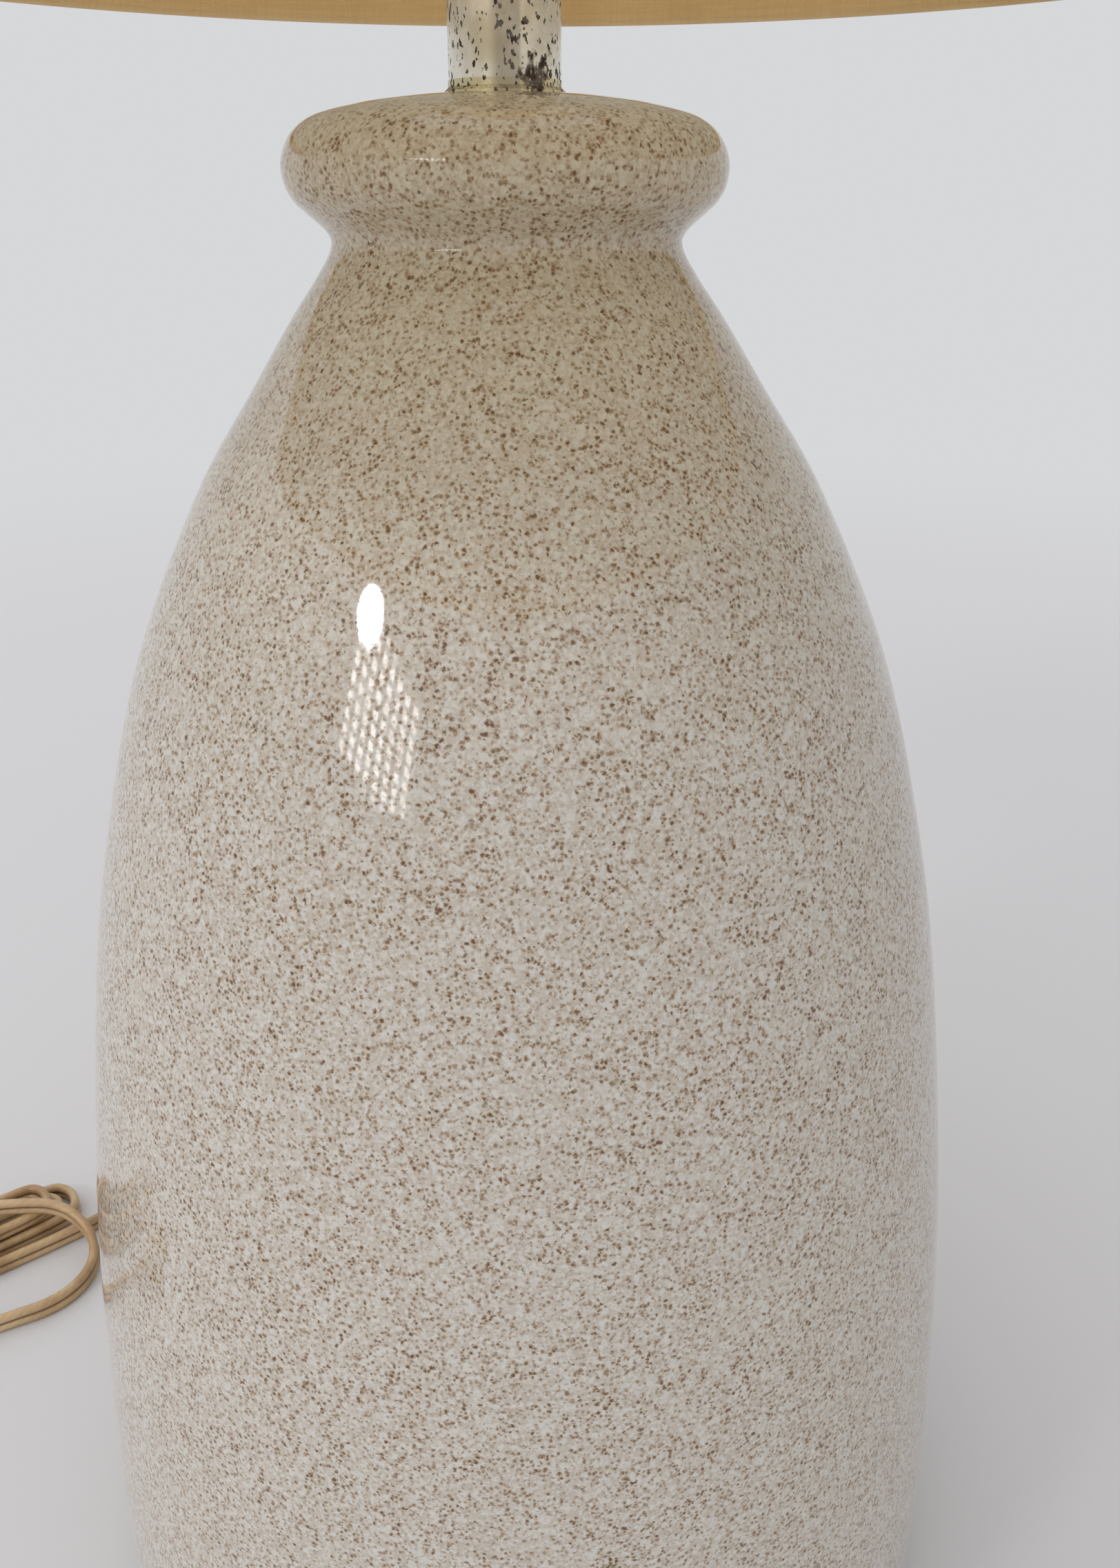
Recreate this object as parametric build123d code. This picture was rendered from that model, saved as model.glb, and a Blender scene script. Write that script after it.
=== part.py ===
"""Table lamp: a glazed, speckled, bottle-shaped body on a felt foot, a plated neck tube, a lamp socket with
its bulb, a harp, a tapered shade with folded trims, and a flat two-core cord folded into a hank.

Millimetres, +Z up. The origin is on the floor, under the lamp's axis. The cord leaves at the back, +Y.
"""
from build123d import *
import math
import os

os.makedirs("parts", exist_ok=True)

# Fits shared by all pieces
cut_over = 1.0
part_gap = 0.35
running_clearance = 0.06
slip_clearance = 0.2
quarter_turn = 90
full_turn = 360
hexagon = 6

# Ceramic body
felt_thickness = 2.0
felt_inset = 2.0
ceramic_height = 333.5
body_radius = 103.0
wall = 5.5
foot_round = 8.0
foot_ring_width = 7.0
foot_recess_depth = 26.0
floor_panel = 6.0
floor_hole_radius = 30.0
lip_radius = 38.5
groove_radius = 31.1
groove_drop = 23.8
lip_ceiling = 9.0
lip_radius_shares = (0.764, 0.912, 1.0, 0.938, 0.862)
lip_drop_shares = (0.097, 0.193, 0.45, 0.718, 0.811)
shoulder_radius_shares = (0.380, 0.535, 0.699, 0.853, 0.947, 0.985)
shoulder_height_shares = (0.960, 0.884, 0.768, 0.575, 0.368, 0.213)

# Threaded rod and its fastenings
rod_radius = 5.0
rod_bore_radius = 3.4
rod_hole_clearance = 0.4
rod_end_chamfer = 0.6
rod_below_nut = 2.3
plate_radius = 45.0
plate_thickness = 1.5
lock_washer_radius = 9.0
lock_washer_thickness = 1.2
lock_washer_slit = 1.5
bottom_nut_flats = 17.5
bottom_nut_thickness = 5.0
neck_nut_flats = 15.9
neck_nut_thickness = 3.5
nut_chamfer = 0.8

# Neck
neck_radius = 9.5
neck_wall = 0.8
neck_length = 50.0
seat_ring_height = 2.2
seat_ring_flare = 0.9
seat_ring_lap = 0.15
neck_cap_height = 2.5
neck_cap_overhang = 1.1
neck_cap_round = 0.9
spigot_depth = 3.0
spigot_clearance = 0.1

# Harp, its saddle, sleeves and stud
saddle_thickness = 1.6
saddle_disc_radius = 10.5
saddle_strip_width = 4.0
saddle_bend = 0.6
lug_height = 15.0
harp_leg_offset = 23.0
harp_wire_radius = 1.7
harp_leg_lift = 3.0
harp_leg_height = 46.0
harp_flare_height = 50.0
harp_half_width = 57.0
harp_height = 221.7
harp_knee_radius = 45.0
harp_hip_radius = 70.0
harp_crown_radius = 50.0
harp_flat_depth = 0.6
harp_flat_length = 17.0
sleeve_length = 18.0
sleeve_wall = 0.7
stud_collar_radius = 7.5
stud_collar_thickness = 1.6
stud_radius = 3.17
stud_length = 14.0
stud_chamfer = 0.5

# Shade
shade_bottom_radius = 203.0
shade_top_radius = 165.0
shade_height = 263.1
cover_thickness = 0.9
lining_thickness = 0.7
ring_wire_radius = 1.25
spider_wire_radius = 1.6
spider_hub_radius = 11.0
spider_hub_thickness = 1.5
spider_hub_clearance = 0.43
spider_arms = 3
spider_rise = 9.0
spider_knee_inset = 18.0
spider_knee_rise = 2.0
spider_knee_radius = 12.0
ring_below_edge = 2.0
trim_height = 9.5
trim_thickness = 0.7
trim_gap = 0.1
trim_bulge = 1.2
trim_shoulder_share = 0.6

# Finial
finial_height = 28.0
finial_base_radius = 8.0
finial_base_height = 3.0
finial_waist_radius = 4.6
finial_waist_height = 6.0
finial_knob_radius = 9.0
finial_tip_radius = 2.4
finial_bore_spare = 0.7

# Socket
collar_radius = 7.5
collar_height = 9.0
cap_radius = 17.0
cap_height = 20.0
cap_dome_height = 9.0
cap_wall = 0.8
set_screw_radius = 1.5
set_screw_length = 4.5
set_screw_height = 3.0
set_screw_slot = 0.6
shell_base = 12.0
shell_radius = 16.1
shell_wall = 0.6
shell_height = 40.0
shell_bead = 0.7
liner_radius = 15.3
liner_wall = 0.9
liner_base = 12.6
liner_height = 38.0
switch_hole_radius = 3.2
socket_body_radius = 13.9
socket_body_base = 13.5
socket_body_height = 16.5
terminal_flat = 12.0
terminal_pocket_width = 8.0
terminal_pocket_height = 10.5
terminal_height = 19.0
terminal_head_radius = 3.2
terminal_head_thickness = 1.8
terminal_shank_radius = 1.4
terminal_shank_length = 5.0
terminal_slot = 0.7
screw_shell_radius = 13.6
screw_shell_wall = 0.4
screw_shell_height = 20.0
ridge_pitch = 3.6
shell_ridge_depth = 0.35
shell_ridges = 5
contact_thickness = 0.5
contact_width = 5.0
contact_length = 9.0
contact_rise = 3.0
lead_radius = 0.8
lead_rise = 2.3
lead_bend = 1.4
lead_spread = 1.1

# Switch
switch_height = 22.0
switch_shaft_radius = 1.5
switch_shaft_depth = 4.0
switch_knob_start = 18.5
switch_knob_length = 12.5
switch_knob_radius = 5.4
switch_knob_flutes = 14
switch_flute_radius = 0.7
switch_knob_chamfer = 0.8

# Bulb
bulb_tip_lift = 3.35
bulb_length = 110.0
bulb_radius = 30.0
bulb_glass_wall = 0.8
bulb_neck_radius = 11.9
bulb_neck_depth = 8.0
bulb_neck_rise = 5.0
bulb_cap_radius = 12.7
bulb_cap_wall = 0.35
bulb_cap_start = 4.7
bulb_cap_height = 21.0
bulb_cap_ridges = 4
bulb_ridge_depth = 0.3
bulb_tip_radius = 3.6
bulb_tip_height = 1.4
bulb_insulator_radius = 11.6
bulb_stem_flare = 10.6
bulb_stem_radius = 3.4
bulb_stem_height = 30.0
support_radius = 0.35
support_foot = 1.9
support_spread = 10.0
support_height = 16.0
filament_radius = 0.3
filament_rise = 3.0

# Cord: a flat two-core cord, its width standing up where it bends
cord_width = 5.6
cord_radius = 2.1
floor_clearance = 0.1
cord_hole_height = 12.0
cord_inner_height = 9.2
cord_inner_bend = 8.0
cord_inner_knee = 60.0
cord_past_rod = 0.4
grommet_barrel_radius = 4.6
grommet_hole_clearance = 0.2
grommet_bore_radius = 2.5
grommet_flange_radius = 7.0
grommet_flange_thickness = 2.2
grommet_flange_lift = 0.3
grommet_round = 0.8

# Hank: turns folded to and fro in two layers, drawn in by a tie at the waist
hank_centre_x = -228.0
hank_centre_y = 40.0
hank_angle = 39.5
hank_run = 156.0
hank_inner_radius = 4.6
hank_step = 4.95
hank_layer_step = 6.1
hank_draw = 2.0
hank_lift = 1.2
hank_turns_down = 2.0
hank_turns_up = 1.5
hank_stations = 10
hank_bend_share = 0.45
hank_fan = 8.0
hank_fan_shares = (0.0, 0.0, -0.3, -0.1, -0.2, -0.9, 0.5)
tie_thickness = 1.0
tie_width = 5.0
tie_clearance = 0.6
tie_corner = 3.0

# Route of the free cord, chosen by hand: from the bush at the back to the hank, and from the hank to the plug
lead_route = [
    (0.0, 121.0, 12.0),
    (-9.0, 142.0, 7.0),
    (-36.0, 155.0, 3.2),
    (-72.0, 151.0, 2.9),
    (-108.0, 128.0, 2.9),
    (-138.5, 93.0, 2.9),
    (-173.3, 64.9, 2.9),
]
tail_route = [
    (-209.1, 69.0, 13.6),
    (-189.5, 76.0, 15.2),
    (-172.5, 79.8, 14.8),
    (-158.5, 81.8, 13.0),
    (-148.3, 77.5, 7.8),
    (-143.2, 69.8, 3.6),
    (-143.6, 58.5, 2.9),
    (-150.3, 48.8, 2.9),
    (-162.5, 43.0, 2.9),
    (-182.0, 32.0, 3.1),
    (-205.0, 14.0, 6.7),
    (-225.0, -6.0, 6.7),
]

# Plug
plug_length = 27.0
plug_width = 23.0
plug_neck_width = 10.0
plug_thickness = 13.0
plug_neck_length = 22.0
plug_neck_radius = 3.6
plug_neck_end_radius = 3.0
plug_round = 2.4
blade_spacing = 12.7
blade_length = 17.5
blade_root = 5.0
blade_thickness = 1.5
blade_widths = (6.35, 7.9)
blade_hole_radius = 1.6
blade_hole_inset = 4.6
blade_tip_chamfer = 1.2

# Heights that follow from the sizes above
foot_z = felt_thickness
lip_top_z = foot_z + ceramic_height
groove_z = lip_top_z - groove_drop
recess_top_z = foot_z + foot_recess_depth
panel_top_z = recess_top_z + floor_panel
neck_hole_radius = rod_radius + rod_hole_clearance
recess_radius = body_radius - foot_round - foot_ring_width
plate_z = recess_top_z - plate_thickness
lock_washer_z = plate_z - lock_washer_thickness
bottom_nut_z = lock_washer_z - bottom_nut_thickness
rod_bottom_z = bottom_nut_z - rod_below_nut
neck_z = lip_top_z + seat_ring_height
neck_top_z = neck_z + neck_length
neck_nut_z = neck_top_z + neck_cap_height
saddle_z = neck_nut_z + neck_nut_thickness
socket_z = saddle_z + saddle_thickness
rod_top_z = socket_z + collar_height
harp_leg_z = socket_z + harp_leg_lift
harp_top_z = socket_z + harp_height
stud_collar_z = harp_top_z + harp_wire_radius - harp_flat_depth
stud_collar_top_z = stud_collar_z + stud_collar_thickness
hub_z = stud_collar_top_z + part_gap
hub_top_z = hub_z + spider_hub_thickness
finial_z = hub_top_z + part_gap
top_ring_z = hub_z + spider_hub_thickness / 2 + spider_rise
shade_top_z = top_ring_z + ring_below_edge
shade_bottom_z = shade_top_z - shade_height
bottom_ring_z = shade_bottom_z + ring_wire_radius
socket_body_top = socket_body_base + socket_body_height
bulb_tip_z = socket_z + socket_body_top + bulb_tip_lift
bulb_cap_z = bulb_tip_z + bulb_cap_start
bulb_cap_top_z = bulb_cap_z + bulb_cap_height
bulb_centre_z = bulb_tip_z + bulb_length - bulb_radius
exit_y = body_radius + grommet_flange_lift + grommet_flange_thickness
lug_outer_x = harp_leg_offset - harp_wire_radius - part_gap
lug_inner_x = lug_outer_x - saddle_thickness
sleeve_x = (lug_inner_x + harp_leg_offset + harp_wire_radius) / 2
sleeve_bore = math.hypot(sleeve_x - lug_inner_x, saddle_strip_width / 2) + part_gap


def at(radius, height):
    """A point of a turned outline."""
    return Vector(radius, 0, height)


def turned(edges):
    """A solid of revolution about the lamp's axis, from a closed outline."""
    return revolve(make_face(edges), axis=Axis.Z, revolution_arc=full_turn)


def turned_points(points):
    """A solid of revolution from the corners of its outline."""
    return turned(Polyline(*[at(radius, height) for radius, height in points], close=True))


def ring(inner, outer, base, height):
    """A plain round ring or, with no inner radius, a disc."""
    return turned_points([(inner, base), (outer, base), (outer, base + height), (inner, base + height)])


def tube_along(route, radius, radii):
    """A round tube along straight runs that tangent arcs join."""
    path = FilletPolyline(*route, radius=radii)
    start = Plane(origin=path @ 0, z_dir=path % 0)
    return sweep(start * Circle(radius), path=path)


def bar_between(start, end, radius):
    """A straight round bar from one point to another."""
    line = Line(start, end)
    return sweep(Plane(origin=line @ 0, z_dir=line % 0) * Circle(radius), path=line)


def hex_nut(across_flats, thickness, bore, base):
    """A hexagon nut with turned-off corners."""
    corner = across_flats / 2 / math.cos(math.pi / hexagon)
    fall = nut_chamfer * math.tan(math.pi / hexagon)
    blank = extrude(RegularPolygon(across_flats / 2, hexagon, major_radius=False), thickness)
    turning = turned_points([
        (bore, 0), (corner - nut_chamfer, 0), (corner, fall), (corner, thickness - fall),
        (corner - nut_chamfer, thickness), (bore, thickness),
    ])
    return Pos(0, 0, base) * (blank & turning)


def wave(radius, base, turns, depth):
    """One side of a rolled thread: arcs that bulge out and in by turns."""
    edges = []
    for half in range(2 * turns):
        low = base + half * ridge_pitch / 2
        bulge = depth if half % 2 == 0 else -depth
        edges.append(ThreePointArc(
            at(radius, low), at(radius + bulge, low + ridge_pitch / 4), at(radius, low + ridge_pitch / 2)))
    return edges


def rolled_thread(radius, thickness, base, height, wave_base, turns, depth):
    """A thin turned wall with a rolled thread in it."""
    wave_top = wave_base + turns * ridge_pitch
    top = base + height
    inner = radius - thickness
    edges = [Line(at(radius, base), at(radius, wave_base))]
    edges += wave(radius, wave_base, turns, depth)
    edges += [
        Line(at(radius, wave_top), at(radius, top)),
        Line(at(radius, top), at(inner, top)),
        Line(at(inner, top), at(inner, wave_top)),
    ]
    edges += wave(inner, wave_base, turns, depth)
    edges += [
        Line(at(inner, wave_base), at(inner, base)),
        Line(at(inner, base), at(radius, base)),
    ]
    return turned(edges)


def shoulder_points(inset):
    """Points of the body's long curve, from under the groove down to the belly, inset by a wall or by nothing."""
    rise = groove_z - foot_z
    return [
        at(radius_share * body_radius - inset, foot_z + height_share * rise)
        for radius_share, height_share in zip(shoulder_radius_shares, shoulder_height_shares)
    ]


def ceramic_body():
    """Hollow bottle with a rounded lip, a groove, a recessed foot and a cord hole at the back."""
    down = (0, 0, -1)
    lip = [
        at(radius_share * lip_radius, lip_top_z - drop_share * groove_drop)
        for radius_share, drop_share in zip(lip_radius_shares, lip_drop_shares)
    ]
    groove = at(groove_radius, groove_z)
    belly = at(body_radius, foot_z + foot_round)
    foot_edge = at(body_radius - foot_round, foot_z)
    round_share = math.sqrt(0.5)
    round_middle = at(
        body_radius - foot_round + round_share * foot_round,
        foot_z + foot_round - round_share * foot_round)
    inner_belly = at(body_radius - wall, panel_top_z)
    inner_groove = at(groove_radius - wall, groove_z)
    ceiling_z = lip_top_z - lip_ceiling
    mouth = at(neck_hole_radius, lip_top_z)
    edges = [
        Spline(mouth, *lip, groove, tangents=[(1, 0, 0), down]),
        Spline(groove, *shoulder_points(0), belly, tangents=[down, down]),
        ThreePointArc(belly, round_middle, foot_edge),
        Polyline(
            foot_edge, at(recess_radius, foot_z), at(recess_radius, recess_top_z),
            at(floor_hole_radius, recess_top_z), at(floor_hole_radius, panel_top_z), inner_belly),
        Spline(inner_groove, *shoulder_points(wall), inner_belly, tangents=[down, down]),
        Polyline(
            inner_groove, at(groove_radius - wall, ceiling_z), at(neck_hole_radius, ceiling_z), mouth),
    ]
    hole = bar_between(
        (0, recess_radius - cut_over, cord_hole_height), (0, body_radius + cut_over, cord_hole_height),
        grommet_barrel_radius + grommet_hole_clearance)
    return turned(edges) - hole


def felt_pad():
    """Felt disc glued under the foot."""
    return ring(0, body_radius - foot_round - felt_inset, 0, felt_thickness)


def bottom_plate():
    """Steel disc that bears on the recessed floor of the body."""
    return ring(neck_hole_radius, plate_radius, plate_z, plate_thickness)


def bottom_lock_washer():
    """Split washer between the plate and the nut."""
    washer = ring(neck_hole_radius, lock_washer_radius, lock_washer_z, lock_washer_thickness)
    slit = Pos(lock_washer_radius, 0, lock_washer_z + lock_washer_thickness / 2) * Box(
        2 * (lock_washer_radius - rod_radius + cut_over), lock_washer_slit, lock_washer_thickness + cut_over)
    return washer - slit


def bottom_nut():
    """Nut at the lower end of the rod."""
    return hex_nut(bottom_nut_flats, bottom_nut_thickness, rod_radius + running_clearance, bottom_nut_z)


def lamp_rod():
    """Threaded pipe that clamps the lamp together and carries the cord."""
    tip = rod_radius - rod_end_chamfer
    return turned_points([
        (rod_bore_radius, rod_bottom_z), (tip, rod_bottom_z), (rod_radius, rod_bottom_z + rod_end_chamfer),
        (rod_radius, rod_top_z - rod_end_chamfer), (tip, rod_top_z), (rod_bore_radius, rod_top_z),
    ])


def neck_seat_ring():
    """Thin flared base band between the lip and the neck tube, with a spigot that centres the tube."""
    spigot = neck_radius - neck_wall - spigot_clearance
    return turned_points([
        (neck_hole_radius, lip_top_z), (neck_radius + seat_ring_flare, lip_top_z),
        (neck_radius + seat_ring_flare, lip_top_z + seat_ring_height / 5),
        (neck_radius + seat_ring_lap, lip_top_z + seat_ring_height / 2),
        (neck_radius + seat_ring_lap, neck_z), (spigot, neck_z), (spigot, neck_z + spigot_depth),
        (neck_hole_radius, neck_z + spigot_depth),
    ])


def neck_tube():
    """Plated tube between the body and the socket."""
    return ring(neck_radius - neck_wall, neck_radius, neck_z, neck_length)


def neck_cap():
    """Turned disc that closes the tube and takes the rod."""
    spigot = neck_radius - neck_wall - spigot_clearance
    rim = neck_radius + neck_cap_overhang
    top = neck_top_z + neck_cap_height
    return turned_points([
        (neck_hole_radius, neck_top_z - spigot_depth), (spigot, neck_top_z - spigot_depth),
        (spigot, neck_top_z), (rim, neck_top_z), (rim, top - neck_cap_round),
        (rim - neck_cap_round, top), (neck_hole_radius, top),
    ])


def neck_lock_nut():
    """Thin nut that clamps the neck."""
    return hex_nut(neck_nut_flats, neck_nut_thickness, rod_radius + running_clearance, neck_nut_z)


def harp_saddle():
    """Bent strip with two upright lugs, widened to a disc round the rod."""
    outer = FilletPolyline(
        (-lug_outer_x, 0, socket_z + lug_height), (-lug_outer_x, 0, saddle_z), (lug_outer_x, 0, saddle_z),
        (lug_outer_x, 0, socket_z + lug_height), radius=saddle_bend + saddle_thickness)
    inner = FilletPolyline(
        (-lug_inner_x, 0, socket_z + lug_height), (-lug_inner_x, 0, socket_z), (lug_inner_x, 0, socket_z),
        (lug_inner_x, 0, socket_z + lug_height), radius=saddle_bend)
    ends = [Line(outer @ 0, inner @ 0), Line(outer @ 1, inner @ 1)]
    strip = extrude(
        make_face([*outer.edges(), *inner.edges(), *ends]), saddle_strip_width / 2, dir=(0, 1, 0), both=True)
    disc = ring(0, saddle_disc_radius, saddle_z, saddle_thickness)
    hole = ring(0, neck_hole_radius, saddle_z - cut_over, saddle_thickness + 2 * cut_over)
    return strip + disc - hole


def harp():
    """Bent wire hoop that carries the shade, with a flat at the top for the stud."""
    hip_z = harp_leg_z + harp_leg_height + harp_flare_height
    half = [
        (harp_leg_offset, 0, harp_leg_z),
        (harp_leg_offset, 0, harp_leg_z + harp_leg_height),
        (harp_half_width, 0, hip_z),
        (harp_half_width, 0, harp_top_z),
    ]
    route = half + [(-x, y, z) for x, y, z in reversed(half)]
    bends = [harp_knee_radius, harp_hip_radius, harp_crown_radius]
    hoop = tube_along(route, harp_wire_radius, bends + bends[::-1])
    flat = Pos(0, 0, stud_collar_z + harp_wire_radius) * Box(
        harp_flat_length, 4 * harp_wire_radius, 2 * harp_wire_radius)
    return hoop - flat


def harp_stud():
    """Collar and threaded stud on the harp's flat."""
    top = stud_collar_top_z + stud_length
    return turned_points([
        (0, stud_collar_z), (stud_collar_radius, stud_collar_z), (stud_collar_radius, stud_collar_top_z),
        (stud_radius, stud_collar_top_z), (stud_radius, top - stud_chamfer),
        (stud_radius - stud_chamfer, top), (0, top),
    ])


def harp_sleeve(side):
    """Short tube that locks a harp leg to its lug, and slides up to free it."""
    sleeve = ring(sleeve_bore, sleeve_bore + sleeve_wall, socket_z + part_gap, sleeve_length)
    return Pos(side * sleeve_x, 0, 0) * sleeve


def socket_cap():
    """Brass cup with a collar that screws on to the rod."""
    bore = rod_radius + running_clearance
    dome_start = cap_dome_height * 2 / 3
    corner = cap_radius - cap_wall * 2
    inner_corner = corner - cap_wall / 2
    cup = turned_points([
        (bore, socket_z), (collar_radius, socket_z), (collar_radius, socket_z + dome_start),
        (corner, socket_z + cap_dome_height), (cap_radius, socket_z + shell_base),
        (cap_radius, socket_z + cap_height), (cap_radius - cap_wall, socket_z + cap_height),
        (cap_radius - cap_wall, socket_z + shell_base), (inner_corner, socket_z + cap_dome_height + cap_wall),
        (collar_radius, socket_z + dome_start + cap_wall), (collar_radius - cap_wall, rod_top_z),
        (bore, rod_top_z),
    ])
    screw_hole = bar_between(
        (0, rod_radius - cut_over, socket_z + set_screw_height),
        (0, collar_radius + cut_over, socket_z + set_screw_height), set_screw_radius + running_clearance)
    return cup - (screw_hole - ring(0, bore, socket_z, collar_height))


def cap_set_screw():
    """Slotted screw that locks the cap on the rod."""
    start_y = rod_radius
    end_y = start_y + set_screw_length
    screw = bar_between(
        (0, start_y, socket_z + set_screw_height), (0, end_y, socket_z + set_screw_height), set_screw_radius)
    slot = Pos(0, end_y, socket_z + set_screw_height) * Box(
        3 * set_screw_radius, 2 * set_screw_slot, set_screw_slot)
    trim = ring(0, rod_radius + running_clearance, socket_z, collar_height)
    return screw - slot - trim


def switch_hole():
    """The way that the switch shaft takes out through the shell and the liner."""
    return bar_between(
        (0, -socket_body_radius, socket_z + switch_height),
        (0, -shell_radius - shell_bead - cut_over, socket_z + switch_height), switch_hole_radius)


def socket_shell():
    """Outer brass shell with a rolled bead at its mouth."""
    base = socket_z + shell_base
    top = base + shell_height
    inner = shell_radius - shell_wall
    bead_z = top - shell_bead
    return turned([
        Line(at(inner, base), at(shell_radius - slip_clearance, base)),
        Line(at(shell_radius - slip_clearance, base), at(shell_radius - slip_clearance, bead_z - shell_bead)),
        ThreePointArc(
            at(shell_radius - slip_clearance, bead_z - shell_bead), at(shell_radius + shell_bead, bead_z),
            at(shell_radius - slip_clearance, top)),
        Line(at(shell_radius - slip_clearance, top), at(inner, top)),
        Line(at(inner, top), at(inner, base)),
    ]) - switch_hole()


def socket_liner():
    """Insulating sleeve inside the shell."""
    return ring(liner_radius - liner_wall, liner_radius, socket_z + liner_base, liner_height) - switch_hole()


def socket_body():
    """Moulded body with the switch, terminal pockets and the seat of the screw shell."""
    base = socket_z + socket_body_base
    body = ring(0, socket_body_radius, base, socket_body_height)
    pocket_depth = socket_body_radius - terminal_flat + cut_over
    for side in (-1, 1):
        pocket = Pos(side * (terminal_flat + pocket_depth / 2), 0, base + terminal_pocket_height / 2 - cut_over / 2)
        body -= pocket * Box(pocket_depth, terminal_pocket_width, terminal_pocket_height + cut_over)
        body -= terminal_shank(side, running_clearance)
    shaft = bar_between(
        (0, -switch_shaft_depth + cut_over, socket_z + switch_height),
        (0, -socket_body_radius - cut_over, socket_z + switch_height), switch_shaft_radius + running_clearance)
    return body - shaft


def terminal_shank(side, clearance):
    """Threaded part of a terminal screw, or with a clearance its hole."""
    return bar_between(
        (side * (terminal_flat - terminal_shank_length - clearance), 0, socket_z + terminal_height),
        (side * terminal_flat, 0, socket_z + terminal_height), terminal_shank_radius + clearance)


def terminal_screw(side):
    """Slotted terminal screw in the side of the socket body."""
    outer_x = terminal_flat + terminal_head_thickness
    head = bar_between(
        (side * terminal_flat, 0, socket_z + terminal_height),
        (side * outer_x, 0, socket_z + terminal_height), terminal_head_radius)
    slot = Pos(side * outer_x, 0, socket_z + terminal_height) * Box(
        terminal_slot * 2, terminal_slot, 3 * terminal_head_radius)
    return terminal_shank(side, 0) + (head - slot)


def screw_shell():
    """Rolled shell that the bulb screws into."""
    base = socket_z + socket_body_top
    wave_base = bulb_cap_z + ridge_pitch / 2 - 2 * ridge_pitch
    return rolled_thread(
        screw_shell_radius, screw_shell_wall, base, screw_shell_height, wave_base, shell_ridges,
        shell_ridge_depth)


def centre_contact():
    """Springy strip that bears on the bulb's tip."""
    base = socket_z + socket_body_top
    top = base + contact_rise
    reach = contact_length / 2
    outline = Polyline(
        (reach, 0, base), (-reach, 0, base), (-reach, 0, base + contact_thickness),
        (reach - contact_thickness * 3, 0, base + contact_thickness), (-reach / 3, 0, top - contact_thickness),
        (-reach / 3, 0, top), (reach / 3, 0, top), (reach, 0, base + contact_thickness * 2), close=True)
    return extrude(make_face(outline), contact_width / 2, dir=(0, 1, 0), both=True)


def socket_leads():
    """The two cores, parted inside the cap and taken to the terminal screws."""
    start_z = rod_top_z + cord_past_rod
    turn_z = start_z + lead_rise
    end_z = socket_z + terminal_height - terminal_head_radius
    end_x = terminal_flat + terminal_head_thickness / 2
    leads = []
    for side in (-1, 1):
        route = [
            (side * lead_spread, 0, start_z), (side * lead_spread, 0, turn_z),
            (side * end_x, 0, turn_z), (side * end_x, 0, end_z),
        ]
        leads.append(tube_along(route, lead_radius, [lead_bend, lead_bend]))
    return Compound(children=leads)


def switch_shaft():
    """Shaft of the turn switch."""
    return bar_between(
        (0, -switch_shaft_depth, socket_z + switch_height),
        (0, -switch_knob_start - switch_knob_length / 2, socket_z + switch_height), switch_shaft_radius)


def switch_knob():
    """Fluted moulded knob, turned about the shaft."""
    knob = turned_points([
        (0, 0), (switch_knob_radius, 0), (switch_knob_radius, switch_knob_length - switch_knob_chamfer),
        (switch_knob_radius - switch_knob_chamfer, switch_knob_length), (0, switch_knob_length),
    ])
    bore_depth = switch_knob_length / 2 + running_clearance
    knob -= ring(0, switch_shaft_radius + running_clearance, 0, bore_depth)
    for index in range(switch_knob_flutes):
        turn = full_turn * index / switch_knob_flutes
        knob -= Rot(0, 0, turn) * Pos(switch_knob_radius, 0, 0) * ring(
            0, switch_flute_radius, switch_knob_chamfer * 2, switch_knob_length)
    return Pos(0, -switch_knob_start, socket_z + switch_height) * Rot(quarter_turn, 0, 0) * knob


def bulb_outline(inset):
    """Closed outline of the bulb's envelope, inset by the glass or by nothing."""
    neck = bulb_neck_radius - inset
    crown = bulb_radius - inset
    low = bulb_cap_top_z - bulb_neck_depth - (cut_over if inset else 0)
    neck_end = at(neck, bulb_cap_top_z + bulb_neck_rise)
    round_share = math.sqrt(0.5)
    return [
        Line(at(0, low), at(neck, low)),
        Line(at(neck, low), neck_end),
        Spline(neck_end, at(crown, bulb_centre_z), tangents=[(0, 0, 1), (0, 0, 1)]),
        ThreePointArc(
            at(crown, bulb_centre_z), at(crown * round_share, bulb_centre_z + crown * round_share),
            at(0, bulb_centre_z + crown)),
        Line(at(0, bulb_centre_z + crown), at(0, low)),
    ]


def bulb_glass():
    """Hollow pear-shaped envelope."""
    return turned(bulb_outline(0)) - turned(bulb_outline(bulb_glass_wall))


def bulb_cap():
    """Screw cap of the bulb."""
    return rolled_thread(
        bulb_cap_radius, bulb_cap_wall, bulb_cap_z, bulb_cap_height, bulb_cap_z + ridge_pitch / 2,
        bulb_cap_ridges, bulb_ridge_depth)


def bulb_insulator():
    """Dark moulded cone between the cap and the tip."""
    base = bulb_tip_z + bulb_tip_height / 2
    return turned_points([
        (bulb_tip_radius, base), (bulb_insulator_radius, bulb_cap_z - bulb_cap_wall),
        (bulb_insulator_radius, bulb_cap_z + bulb_cap_wall * 4), (0, bulb_cap_z + bulb_cap_wall * 4),
        (0, bulb_tip_z + bulb_tip_height), (bulb_tip_radius, bulb_tip_z + bulb_tip_height),
    ])


def bulb_tip():
    """Solder tip of the bulb."""
    edge = bulb_tip_z + bulb_tip_height / 2
    return turned_points([
        (0, bulb_tip_z), (bulb_tip_radius / 2, bulb_tip_z), (bulb_tip_radius, edge),
        (bulb_tip_radius, bulb_tip_z + bulb_tip_height), (0, bulb_tip_z + bulb_tip_height),
    ])


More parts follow.
